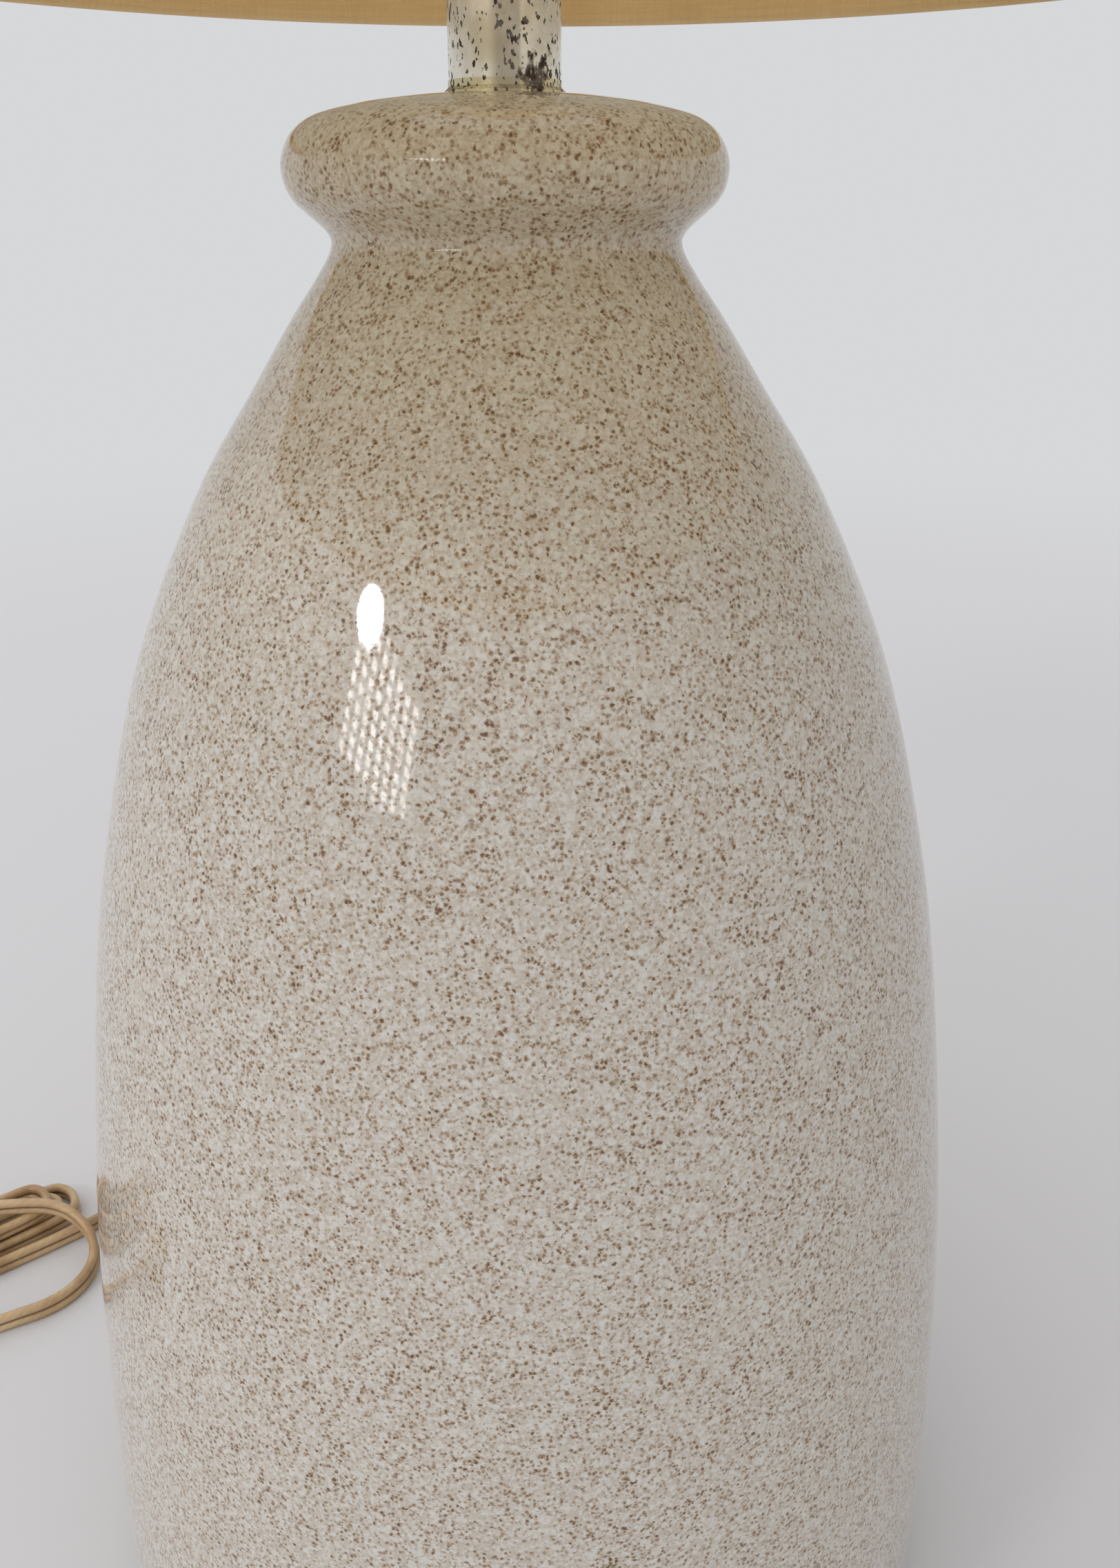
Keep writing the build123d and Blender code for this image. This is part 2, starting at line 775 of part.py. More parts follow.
def bulb_stem():
    """Flared glass mount inside the bulb."""
    base = bulb_cap_top_z - bulb_neck_depth
    return turned_points([
        (0, base), (bulb_stem_flare, base), (bulb_stem_radius, base + bulb_stem_height / 2),
        (bulb_stem_radius, base + bulb_stem_height), (0, base + bulb_stem_height),
    ])


def bulb_supports():
    """Two wires that carry the filament."""
    foot_height = bulb_cap_top_z - bulb_neck_depth + bulb_stem_height + support_radius
    wires = [
        bar_between(
            (side * support_foot, 0, foot_height), (side * support_spread, 0, foot_height + support_height),
            support_radius)
        for side in (-1, 1)
    ]
    return Compound(children=wires)


def bulb_filament():
    """Arched filament between the supports."""
    height = bulb_cap_top_z - bulb_neck_depth + bulb_stem_height + support_radius + support_height
    low = height + support_radius * 2
    arch = ThreePointArc((-support_spread, 0, low), (0, 0, low + filament_rise), (support_spread, 0, low))
    return sweep(Plane(origin=arch @ 0, z_dir=arch % 0) * Circle(filament_radius), path=arch)


def shade_radius(height):
    """Outer radius of the shade's cover at a height."""
    share = (height - shade_bottom_z) / shade_height
    return shade_bottom_radius + (shade_top_radius - shade_bottom_radius) * share


def shade_sheet(outer_inset, inner_inset):
    """A tapered sheet of the shade between two insets from its outer face."""
    return turned_points([
        (shade_radius(shade_bottom_z) - outer_inset, shade_bottom_z),
        (shade_radius(shade_top_z) - outer_inset, shade_top_z),
        (shade_radius(shade_top_z) - inner_inset, shade_top_z),
        (shade_radius(shade_bottom_z) - inner_inset, shade_bottom_z),
    ])


def shade_cover():
    """Outer cloth of the shade on its stiff backing."""
    return shade_sheet(0, cover_thickness)


def shade_lining():
    """Pale inner sheet of the shade."""
    return shade_sheet(cover_thickness, cover_thickness + lining_thickness)


def ring_radius(height):
    """Radius of a wire ring that lies against the lining."""
    return shade_radius(height) - cover_thickness - lining_thickness - ring_wire_radius - trim_gap


def shade_bottom_ring():
    """Wire ring inside the lower edge."""
    return Pos(0, 0, bottom_ring_z) * Torus(ring_radius(bottom_ring_z), ring_wire_radius)


def spider_arm(radius):
    """One arm of the spider, from the hub to the upper ring, or with a larger radius the way that it takes."""
    middle = hub_z + spider_hub_thickness / 2
    major = ring_radius(top_ring_z)
    knee = major - spider_knee_inset
    route = [
        (spider_hub_radius - spider_wire_radius, 0, middle), (knee, 0, middle + spider_knee_rise),
        (major, 0, top_ring_z),
    ]
    return tube_along(route, radius, [spider_knee_radius])


def around(shape):
    """Copies of a shape at the places of the spider's arms."""
    return [
        Rot(0, 0, quarter_turn + full_turn * index / spider_arms) * shape
        for index in range(spider_arms)
    ]


def shade_top_frame():
    """Upper wire ring welded to the three-armed spider that sits on the harp's stud."""
    frame = Pos(0, 0, top_ring_z) * Torus(ring_radius(top_ring_z), ring_wire_radius)
    frame += ring(0, spider_hub_radius, hub_z, spider_hub_thickness)
    for arm in around(spider_arm(spider_wire_radius)):
        frame += arm
    over_height = finial_base_height
    bore = ring(
        0, stud_radius + spider_hub_clearance, hub_z - cut_over, spider_hub_thickness + 2 * cut_over)
    under = ring(0, stud_collar_radius + part_gap, hub_z - over_height, over_height)
    over = ring(0, finial_base_radius + part_gap, hub_top_z, over_height)
    return frame - bore - under - over


def trim_skin(edge_z, ring_z, side, grow):
    """One skin of a folded trim, from its outer leg round the edge and the wire to its inner leg."""
    leg_z = edge_z + side * trim_height
    shoulder_z = ring_z + side * ring_wire_radius * trim_shoulder_share
    inset = cover_thickness + lining_thickness + trim_gap + grow
    ring_inner = ring_radius(ring_z) - ring_wire_radius - trim_gap - grow
    return [
        at(shade_radius(leg_z) + trim_gap + grow, leg_z),
        at(shade_radius(edge_z) + trim_gap + grow, edge_z),
        at((shade_radius(edge_z) + ring_inner) / 2, edge_z - side * (trim_bulge + grow)),
        at(ring_inner, edge_z),
        at(ring_inner, shoulder_z),
        at(shade_radius(leg_z) - inset, leg_z),
    ]


def shade_trim(edge_z, ring_z, side):
    """Cloth strip folded over an edge of the shade and round its wire; side is 1 at the bottom, -1 at the top."""
    near = trim_skin(edge_z, ring_z, side, 0)
    far = trim_skin(edge_z, ring_z, side, trim_thickness)
    edges = []
    for outer_leg, outer_edge, middle, inner_edge, shoulder, inner_leg in (near, far):
        edges.append(Line(outer_leg, outer_edge))
        edges.append(ThreePointArc(outer_edge, middle, inner_edge))
        edges.append(Polyline(inner_edge, shoulder, inner_leg))
    edges.append(Line(near[0], far[0]))
    edges.append(Line(near[-1], far[-1]))
    return turned(edges)


def shade_top_trim():
    """Trim of the upper edge, with a hole for each arm of the spider."""
    trim = shade_trim(shade_top_z, top_ring_z, -1)
    for way in around(spider_arm(spider_wire_radius + slip_clearance)):
        trim -= way
    return trim


def finial():
    """Turned knob that screws down on the spider."""
    knob_z = finial_z + finial_height - finial_knob_radius - finial_tip_radius
    top = finial_z + finial_height
    base_top = finial_z + finial_base_height
    waist = at(finial_waist_radius, finial_z + finial_waist_height)
    tip = at(finial_tip_radius, top - finial_tip_radius)
    body = turned([
        Line(at(0, finial_z), at(finial_base_radius, finial_z)),
        Line(at(finial_base_radius, finial_z), at(finial_base_radius, base_top)),
        Line(at(finial_base_radius, base_top), waist),
        Spline(waist, at(finial_knob_radius, knob_z), tip, tangents=[(0, 0, 1), (0, 0, 1)]),
        Spline(tip, at(0, top), tangents=[(0, 0, 1), (-1, 0, 0)]),
        Line(at(0, top), at(0, finial_z)),
    ])
    depth = stud_collar_top_z + stud_length + finial_bore_spare - finial_z
    bore = ring(0, stud_radius + running_clearance, finial_z - cut_over, depth + cut_over)
    return body - bore


def cord_grommet():
    """Moulded bush that guards the cord in the wall."""
    outer = Pos(0, exit_y, cord_hole_height) * Rot(quarter_turn, 0, 0)
    length = exit_y - recess_radius
    flange = grommet_flange_thickness
    bush = turned_points([
        (grommet_bore_radius, 0), (grommet_flange_radius - grommet_round, 0),
        (grommet_flange_radius, grommet_round), (grommet_flange_radius, flange),
        (grommet_barrel_radius, flange), (grommet_barrel_radius, length), (grommet_bore_radius, length),
    ])
    return outer * bush


def inner_cord():
    """Cord inside the lamp, from the bush across the recess and up the rod."""
    route = [
        (0, exit_y, cord_hole_height), (0, recess_radius, cord_hole_height),
        (0, 0, cord_inner_height), (0, 0, rod_top_z + cord_past_rod),
    ]
    return tube_along(route, cord_radius, [cord_inner_knee, cord_inner_bend])


def hank_point(along, across, height):
    """A point of the hank's own frame in the lamp's frame."""
    turn = math.radians(hank_angle)
    return (
        hank_centre_x + along * math.cos(turn) - across * math.sin(turn),
        hank_centre_y + along * math.sin(turn) + across * math.cos(turn),
        height,
    )


def hank_route():
    """Corners of the hank's runs: four round each end and one at the waist on each side, turn after turn."""
    low = cord_width / 2 + floor_clearance
    half = hank_stations // 2
    reverse = round(hank_turns_down * hank_stations)
    last = reverse + round(hank_turns_up * hank_stations)
    corner_share = 1 / math.cos(math.pi / 8)
    route = []
    for station in range(last + 1):
        radius = hank_inner_radius + hank_step * abs(station - reverse) / hank_stations
        climb = min(max(station - reverse + 1, 0), 2) / 2
        height = low + hank_layer_step * climb
        side = -1 if station % hank_stations < half else 1
        step = station % half
        if step == 0:
            route.append(hank_point(0, side * (radius - hank_draw), height + hank_lift))
            continue
        angle = math.pi * (step - 0.5) / 4
        reach = hank_run / 2 + hank_fan * hank_fan_shares[station // half]
        along = side * (reach + radius * corner_share * math.sin(angle))
        across = side * radius * corner_share * math.cos(angle)
        route.append(hank_point(along, across, height))
    return route


def bend_radii(route):
    """Radius at each corner of a route, as large as its two runs allow."""
    radii = []
    for before, corner, after in zip(route, route[1:], route[2:]):
        run_in = Vector(corner) - Vector(before)
        run_out = Vector(after) - Vector(corner)
        half_turn = math.radians(run_in.get_angle(run_out)) / 2
        radii.append(hank_bend_share * min(run_in.length, run_out.length) / math.tan(half_turn))
    return radii


def middle_of(start, end):
    """The point half way along a run."""
    return tuple((Vector(start) + Vector(end)) * 0.5)


def cord_solids():
    """The free cord as three tubes that meet face to face: to the hank, the hank, and on to the plug."""
    hank = hank_route()
    lead = [(0, exit_y, cord_hole_height), *lead_route]
    route = [*lead, *hank, *tail_route]
    radii = [None, *bend_radii(route), None]
    first_break = len(lead)
    second_break = first_break + len(hank)
    spans = {
        "cord_lead": (0, first_break),
        "cord_hank": (first_break, second_break),
        "cord_tail": (second_break, len(route)),
    }
    solids = {}
    for name, (first, last) in spans.items():
        points = list(route[first:last])
        bends = list(radii[first:last])
        if first > 0:
            points.insert(0, middle_of(route[first - 1], route[first]))
        else:
            bends = bends[1:]
        if last < len(route):
            points.append(middle_of(route[last - 1], route[last]))
        else:
            bends = bends[:-1]
        path = FilletPolyline(*points, radius=bends)
        start = Plane(origin=path @ 0, z_dir=path % 0)
        solids[name] = sweep(start * Circle(cord_radius), path=path)
        section = math.pi * cord_radius ** 2
        print(
            f"{name}: length {path.length:.0f} mm, least bend {min(bends):.1f} mm, "
            f"volume over section times length {solids[name].volume / (section * path.length):.4f}")
        print("  bends", " ".join(f"{bend:.0f}" for bend in bends))
        if name == "cord_hank":
            print(f"  least gap of the hank to itself {gap_to_itself(path):.2f} mm")
    return solids


def gap_to_itself(path):
    """Least gap between two stretches of a wound tube, measured on points along its middle."""
    spacing = cord_radius / 2
    count = int(path.length / spacing)
    points = [path @ (index / count) for index in range(count + 1)]
    apart = int(3 * math.pi * cord_radius / spacing)
    least = math.inf
    for index, point in enumerate(points):
        for other in points[index + apart:]:
            distance = (point - other).length
            if distance < least:
                least = distance
    return least - 2 * cord_radius


def hank_tie():
    """Flat band round the waist of the hank."""
    low = floor_clearance
    strand_low = cord_width / 2 + floor_clearance + hank_lift
    inner_low = low + tie_thickness
    inner_high = strand_low + hank_layer_step + cord_width / 2 + tie_clearance
    near = hank_inner_radius + hank_step * hank_turns_down - hank_draw + cord_radius + tie_clearance
    far = near - hank_step * (hank_turns_down - hank_turns_up)
    middle_y = (far - near) / 2
    middle_z = (inner_low + inner_high) / 2
    inner = Plane.YZ * Pos(middle_y, middle_z) * RectangleRounded(
        far + near, inner_high - inner_low, tie_corner)
    outer = Plane.YZ * Pos(middle_y, middle_z) * RectangleRounded(
        far + near + 2 * tie_thickness, inner_high - inner_low + 2 * tie_thickness,
        tie_corner + tie_thickness)
    band = extrude(outer - inner, tie_width / 2, both=True)
    return Pos(hank_centre_x, hank_centre_y, 0) * Rot(0, 0, hank_angle) * band


def plug_place():
    """Where the plug lies: at the end of the cord, pointing on along its last run, flat on the floor."""
    end = tail_route[-1]
    before = tail_route[-2]
    heading = math.degrees(math.atan2(end[1] - before[1], end[0] - before[0]))
    return Pos(end[0], end[1], 0) * Rot(0, 0, heading)


def plug_body():
    """Moulded flat plug with a tapered neck."""
    axis_z = tail_route[-1][2]
    low = axis_z - plug_thickness / 2
    plan = Polyline(
        (plug_neck_length, -plug_neck_width / 2), (plug_neck_length + plug_length / 2, -plug_width / 2),
        (plug_neck_length + plug_length, -plug_width / 2), (plug_neck_length + plug_length, plug_width / 2),
        (plug_neck_length + plug_length / 2, plug_width / 2), (plug_neck_length, plug_neck_width / 2), close=True)
    block = Pos(0, 0, low) * extrude(make_face(plan), plug_thickness)
    block = fillet(block.edges().filter_by(Axis.Z), plug_round)
    neck_outline = Polyline(
        (0, 0), (0, plug_neck_end_radius), (plug_neck_length + plug_round, plug_neck_radius),
        (plug_neck_length + plug_round, 0), close=True)
    neck = Pos(0, 0, axis_z) * revolve(make_face(neck_outline), axis=Axis.X, revolution_arc=full_turn)
    body = block + neck
    for blade in blade_blanks(running_clearance):
        body -= blade
    return plug_place() * body


def blade_blanks(clearance):
    """The two blades before drilling, or with a clearance their pockets."""
    axis_z = tail_route[-1][2]
    face_x = plug_neck_length + plug_length
    length = blade_length + blade_root
    blanks = []
    for side, width in zip((-1, 1), blade_widths):
        middle = face_x - blade_root + length / 2
        blanks.append(Pos(middle, side * blade_spacing / 2, axis_z) * Box(
            length + 2 * clearance, blade_thickness + 2 * clearance, width + 2 * clearance))
    return blanks


def plug_blades():
    """Two flat blades with a hole near each tip."""
    axis_z = tail_route[-1][2]
    tip_x = plug_neck_length + plug_length + blade_length
    blades = []
    for blank in blade_blanks(0):
        tip_edges = blank.edges().filter_by(Axis.Y).group_by(Axis.X)[-1]
        blades.append(chamfer(tip_edges, blade_tip_chamfer))
    drill = bar_between(
        (tip_x - blade_hole_inset, -blade_spacing, axis_z), (tip_x - blade_hole_inset, blade_spacing, axis_z),
        blade_hole_radius)
    return plug_place() * Compound(children=[blade - drill for blade in blades])


pieces = {
    "ceramic_body": ceramic_body(),
    "felt_pad": felt_pad(),
    "bottom_plate": bottom_plate(),
    "bottom_lock_washer": bottom_lock_washer(),
    "bottom_nut": bottom_nut(),
    "lamp_rod": lamp_rod(),
    "neck_seat_ring": neck_seat_ring(),
    "neck_tube": neck_tube(),
    "neck_cap": neck_cap(),
    "neck_lock_nut": neck_lock_nut(),
    "harp_saddle": harp_saddle(),
    "harp": harp(),
    "harp_stud": harp_stud(),
    "harp_sleeve_left": harp_sleeve(-1),
    "harp_sleeve_right": harp_sleeve(1),
    "socket_cap": socket_cap(),
    "cap_set_screw": cap_set_screw(),
    "socket_shell": socket_shell(),
    "socket_liner": socket_liner(),
    "socket_body": socket_body(),
    "hot_terminal_screw": terminal_screw(1),
    "neutral_terminal_screw": terminal_screw(-1),
    "screw_shell": screw_shell(),
    "centre_contact": centre_contact(),
    "socket_leads": socket_leads(),
    "switch_shaft": switch_shaft(),
    "switch_knob": switch_knob(),
    "bulb_glass": bulb_glass(),
    "bulb_cap": bulb_cap(),
    "bulb_insulator": bulb_insulator(),
    "bulb_tip": bulb_tip(),
    "bulb_stem": bulb_stem(),
    "bulb_supports": bulb_supports(),
    "bulb_filament": bulb_filament(),
    "shade_cover": shade_cover(),
    "shade_lining": shade_lining(),
    "shade_top_frame": shade_top_frame(),
    "shade_bottom_ring": shade_bottom_ring(),
    "shade_bottom_trim": shade_trim(shade_bottom_z, bottom_ring_z, 1),
    "shade_top_trim": shade_top_trim(),
    "finial": finial(),
    "cord_grommet": cord_grommet(),
    "inner_cord": inner_cord(),
    "hank_tie": hank_tie(),
    "plug_body": plug_body(),
    "plug_blades": plug_blades(),
}
pieces.update(cord_solids())

for name, shape in pieces.items():
    export_step(shape, f"parts/{name}.step")
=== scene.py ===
# %% [markdown]
# # A speckled ceramic table lamp
#
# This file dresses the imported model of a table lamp: a glazed bottle with brown specks, a tarnished neck
# tube, a harp with its cloth shade, and a flat golden cord folded into a hank. Each step first says what
# the piece is on the real lamp, how it could be made in Blender, and why this way was chosen.
#
# The model's pieces arrive as a fixed frame. A piece whose shape is already right keeps its mesh and gets a
# finish. A piece whose look lies in its surface, such as cloth or a cord, is built here around the same
# sizes, which are read from the frame wherever that is possible.

# %% Load the frame
import math

import bmesh
import bpy
from mathutils import Matrix, Vector, noise


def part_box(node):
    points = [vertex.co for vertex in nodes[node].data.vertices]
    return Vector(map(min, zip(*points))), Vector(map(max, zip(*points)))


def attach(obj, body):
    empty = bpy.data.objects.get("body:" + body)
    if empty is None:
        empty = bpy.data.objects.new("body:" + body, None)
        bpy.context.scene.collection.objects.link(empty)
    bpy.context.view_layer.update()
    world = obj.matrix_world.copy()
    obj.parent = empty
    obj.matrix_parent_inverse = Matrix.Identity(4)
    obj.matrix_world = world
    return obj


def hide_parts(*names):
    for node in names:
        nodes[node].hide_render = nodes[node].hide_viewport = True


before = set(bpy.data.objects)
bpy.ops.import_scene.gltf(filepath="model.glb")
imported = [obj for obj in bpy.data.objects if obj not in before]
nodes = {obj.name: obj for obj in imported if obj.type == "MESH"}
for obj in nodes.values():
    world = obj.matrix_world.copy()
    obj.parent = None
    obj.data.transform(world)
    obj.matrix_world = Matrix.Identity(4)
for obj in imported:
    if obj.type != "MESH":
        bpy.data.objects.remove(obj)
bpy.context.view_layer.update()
scene = bpy.context.scene
MM = 0.001

# %% [markdown]
# ## Camera
#
# The photograph was taken from just above the lip, close in, looking down by about 25 degrees. A camera's
# place can be guessed and moved until things line up, or worked out from sizes that are known. Here it was
# worked out: the lip, the groove and the belly are circles of known radius at known heights, and each gives
# one equation for height, distance and tilt. The long side of the picture is its height, so the sensor's
# width stands for the height, and the lens is the focal length in pixels times 36 mm over 2274.

# %% Place the camera
image_height = 2274
focal_pixels = 1840
sensor = 36
look_down = math.radians(24.85)
camera_place = (9.3 * MM, -244.8 * MM, 320 * MM)

camera_data = bpy.data.cameras.new("camera")
camera_data.sensor_width = sensor
camera_data.lens = focal_pixels / image_height * sensor
camera = bpy.data.objects.new("camera", camera_data)
camera.location = camera_place
camera.rotation_euler = (math.pi / 2 - look_down, 0, 0)
scene.collection.objects.link(camera)
scene.camera = camera
scene.view_settings.view_transform = "Standard"
print("camera", camera_place, "lens", round(camera_data.lens, 2))

# %% [markdown]
# ## Small helpers for node trees
#
# Materials and Geometry Nodes are both trees of nodes joined by links. Written out call by call they are
# long, so a few helpers are worth having first. One adds a node and fills its inputs, with numbers or with
# links. Some do arithmetic, make a noise or lay a bump, and one starts a group with named inputs and outputs.
# A group is built once and then placed in every material that needs its effect, with other values each time.

# %% Helpers that build trees
def fill(tree, node, inputs):
    """Fills a node's inputs, given by name or number, with values or with sockets to link from."""
    for name, value in inputs.items():
        if isinstance(value, bpy.types.NodeSocket):
            tree.links.new(value, node.inputs[name])
        else:
            node.inputs[name].default_value = value
    return node


def add(tree, kind, inputs=None, **settings):
    """Adds a node with its settings and inputs."""
    node = tree.nodes.new(kind)
    for name, value in settings.items():
        setattr(node, name, value)
    return fill(tree, node, inputs or {})


def calc(tree, operation, *terms):
    """A Math node on numbers or sockets, in a shader or a geometry tree."""
    return add(tree, "ShaderNodeMath", dict(enumerate(terms)), operation=operation).outputs[0]


def times(tree, first, second):
    """The product of two numbers or sockets."""
    return calc(tree, "MULTIPLY", first, second)


def plus(tree, first, second):
    """The sum of two numbers or sockets."""
    return calc(tree, "ADD", first, second)


def waves(tree, turns):
    """A sine wave that repeats with each whole turn."""
    return calc(tree, "SINE", times(tree, turns, 2 * math.pi))


def clouds(tree, place, scale, detail):
    """A noise texture's value at a place; nearly all of its values lie within noise_range."""
    return add(tree, "ShaderNodeTexNoise", {"Vector": place, "Scale": scale, "Detail": detail}).outputs[0]


def stretched(tree, place, scale):
    """A place with its axes scaled, which stretches what is drawn by it."""
    return add(tree, "ShaderNodeMapping", {"Vector": place, "Scale": scale}).outputs[0]


def roughen(tree, shader, height, strength, distance):
    """Bends a shader's normals by a height, as far as a relief of the given distance would."""
    bump = add(tree, "ShaderNodeBump", {"Height": height, "Strength": strength, "Distance": distance})
    tree.links.new(bump.outputs[0], shader.inputs["Normal"])


def scaled(tree, value, low, high, to_low=0.0, to_high=1.0):
    """Maps a value smoothly from one range to another, and holds it there at both ends."""
    inputs = {"Value": value, "From Min": low, "From Max": high, "To Min": to_low, "To Max": to_high}
    return add(tree, "ShaderNodeMapRange", inputs, interpolation_type="SMOOTHSTEP").outputs["Result"]


def mixed(tree, share, first, second, blend="MIX"):
    """Mixes two colours by a share."""
    inputs = {0: share, 6: first, 7: second}
    return add(tree, "ShaderNodeMix", inputs, data_type="RGBA", blend_type=blend).outputs[2]


def new_group(name, kind, inputs, outputs):
    """Starts a node group with named sockets, and returns it with its input and output nodes."""
    group = bpy.data.node_groups.new(name, kind)
    for label, (socket_type, value) in inputs.items():
        socket = group.interface.new_socket(label, in_out="INPUT", socket_type=socket_type)
        if value is not None:
            socket.default_value = value
    for label, socket_type in outputs.items():
        group.interface.new_socket(label, in_out="OUTPUT", socket_type=socket_type)
    return group, group.nodes.new("NodeGroupInput").outputs, group.nodes.new("NodeGroupOutput")


def use_group(tree, group, inputs):
    """Places a group in a material's tree and returns its outputs."""
    node = tree.nodes.new("ShaderNodeGroup")
    node.node_tree = group
    return fill(tree, node, inputs).outputs


def new_material(name, **values):
    """A material with one Principled shader. Values are its inputs, with _ for a space."""
    material = bpy.data.materials.new(name)
    material.use_nodes = True
    shader = material.node_tree.nodes["Principled BSDF"]
    for label, value in values.items():
        shader.inputs[label.replace("_", " ")].default_value = value
    return material, material.node_tree, shader


def rgb(red, green, blue):
    """A colour as it looks on a screen, 0 to 255, as the linear colour that shaders use."""
    full = 255
    shares = [channel / full for channel in (red, green, blue)]
    toe, toe_slope, lift, power = 0.04045, 12.92, 0.055, 2.4
    linear = [s / toe_slope if s <= toe else ((s + lift) / (1 + lift)) ** power for s in shares]
    return (*linear, 1.0)


FLOAT = "NodeSocketFloat"
VECTOR = "NodeSocketVector"
COLOUR = "NodeSocketColor"
noise_range = (0.3, 0.7)
print("helpers ready")

# %% [markdown]
# ## Floor, background and light
#
# The lamp stands on a pale floor in a bright room. A photographer's paper sweep would need a wall on every
# side, so that it also works from behind, and that would shut the light out. So the floor is one wide disc,
# and past the lamp its material fades into the same pale grey that the world shows to the camera. The
# horizon then has no edge, and the floor still takes the lamp's shadow.

# %% Make the floor
background_grey = rgb(214, 215, 217)
floor_grey = rgb(212, 212, 212)
floor_radius = 6.0
floor_segments = 96
fade_start = 0.5
fade_end = 1.6


def make_floor():
    """A wide disc under the lamp that fades into the background."""
    mesh = bpy.data.meshes.new("floor")
    shape = bmesh.new()
    bmesh.ops.create_circle(shape, cap_ends=True, segments=floor_segments, radius=floor_radius)
    shape.to_mesh(mesh)
    shape.free()
    floor = bpy.data.objects.new("floor", mesh)
    scene.collection.objects.link(floor)
    material, tree, shader = new_material("pale_floor", Base_Color=floor_grey, Roughness=0.6)
    shader.inputs["Specular IOR Level"].default_value = 0.25
    place = add(tree, "ShaderNodeTexCoord").outputs["Object"]
    distance = add(tree, "ShaderNodeVectorMath", {0: place}, operation="LENGTH").outputs["Value"]
    far = scaled(tree, distance, fade_start, fade_end)
    glow = add(tree, "ShaderNodeEmission", {"Color": background_grey}).outputs[0]
    mix = add(tree, "ShaderNodeMixShader", {0: far, 1: shader.outputs[0], 2: glow})
    tree.links.new(mix.outputs[0], tree.nodes["Material Output"].inputs["Surface"])
    mesh.materials.append(material)
    return floor


floor = make_floor()
print("floor radius", floor_radius, "m")

# %% [markdown]
# The photograph's light is soft daylight, brighter from the left, with pale walls all round. In the glaze it
# shows as one small bright oval, and below that lies a dimmer patch of slanting dashes, like a curtain of
# loose weave. Where a highlight lies tells where its light stands: the camera's ray, mirrored at the surface,
# points at it. Both are area lights, and the walls are the world. Glossy pieces mirror the same pale grey in
# a band round the horizon, because that is what the camera sees there. The dashes are waves across the
# light's own two coordinates, one set for the columns and one for the gaps, so the weave needs no picture.
# A third light hangs below the shade, leans a little to the front and shines up into it. It stands for the
# daylight that comes through the real shade's cloth, which the laminated cloth of a render doesn't let in.

# %% Set the lights
window_way = Vector((-0.631, -0.580, 0.530)).normalized()
window_size = (0.325, 0.225)
window_power = 4.5
curtain_way = Vector((-0.568, -0.752, 0.404)).normalized()
curtain_size = (0.84, 0.97)
curtain_power = 21
weave_columns = (-0.6, 0.3, 0.05, 1.4)
weave_gaps = (-0.8, 0.2, 0.1, 1.0)
upper_cut = (0.93, 1.0, 1.0, 0.0)
lower_cut = (0.20, 0.27)
light_distance = 2.2
body_middle = Vector((0, 0, 0.2))
glow_place = Vector((0, -0.06, 0.355))
glow_way = Vector((0, -0.5, 0.85)).normalized()
glow_size = (0.26, 0.26)
glow_power = 0.19
bright_way = Vector((-0.75, -0.35, 0.55)).normalized()
walls_white = rgb(250, 249, 252)
walls_strength = (0.38, 1.20)
mirror_band = (0.2, 0.45)


def area_light(name, place, facing, size, power, colour, shape):
    """A light at a place that shines along a direction."""
    data = bpy.data.lights.new(name, "AREA")
    data.shape = shape
    data.size, data.size_y = size
    data.energy = power
    data.color = colour[:3]
    light = bpy.data.objects.new(name, data)
    light.matrix_world = Matrix.Translation(place) @ facing.to_track_quat("-Z", "Y").to_matrix().to_4x4()
    scene.collection.objects.link(light)
    return light


def weave_light(light, columns, rows, slant, drape):
    """Breaks a light up into slanting dashes, and cuts two of its corners off on a slope."""
    light.data.use_nodes = True
    tree = light.data.node_tree
    place = add(tree, "ShaderNodeNewGeometry").outputs["Parametric"]
    parts = add(tree, "ShaderNodeSeparateXYZ", {0: place}).outputs
    column = times(tree, parts["X"], columns)
    row = times(tree, parts["Y"], rows)
    row = plus(tree, row, times(tree, column, slant))
    across = scaled(tree, waves(tree, column), *weave_columns)
    upward = scaled(tree, waves(tree, row), *weave_gaps)
    edge = plus(tree, parts["Y"], times(tree, parts["X"], drape))
    inside = times(tree, scaled(tree, edge, *upper_cut), scaled(tree, edge, *lower_cut))
    strength = times(tree, times(tree, across, upward), inside)
    tree.links.new(strength, tree.nodes["Emission"].inputs["Strength"])


def make_world():
    """Soft light from all round, stronger from the left and from above."""
    world = bpy.data.worlds.new("room")
    scene.world = world
    world.use_nodes = True
    tree = world.node_tree
    tree.nodes.clear()
    way = add(tree, "ShaderNodeTexCoord").outputs["Generated"]
    facing = add(tree, "ShaderNodeVectorMath", {0: way, 1: bright_way}, operation="DOT_PRODUCT")
    strength = scaled(tree, facing.outputs["Value"], -1.0, 1.0, *walls_strength)
    walls = add(tree, "ShaderNodeBackground", {"Color": walls_white, "Strength": strength})
    pale = add(tree, "ShaderNodeBackground", {"Color": background_grey, "Strength": 1.0})
    path = add(tree, "ShaderNodeLightPath").outputs
    upward = calc(tree, "ABSOLUTE", add(tree, "ShaderNodeSeparateXYZ", {0: way}).outputs["Z"])
    mirrored = times(tree, path["Is Glossy Ray"], scaled(tree, upward, *mirror_band, 1.0, 0.0))
    seen = calc(tree, "MAXIMUM", path["Is Camera Ray"], path["Is Transmission Ray"])
    seen = calc(tree, "MAXIMUM", seen, mirrored)
    mix = add(tree, "ShaderNodeMixShader", {0: seen, 1: walls.outputs[0], 2: pale.outputs[0]})
    add(tree, "ShaderNodeOutputWorld", {"Surface": mix.outputs[0]})


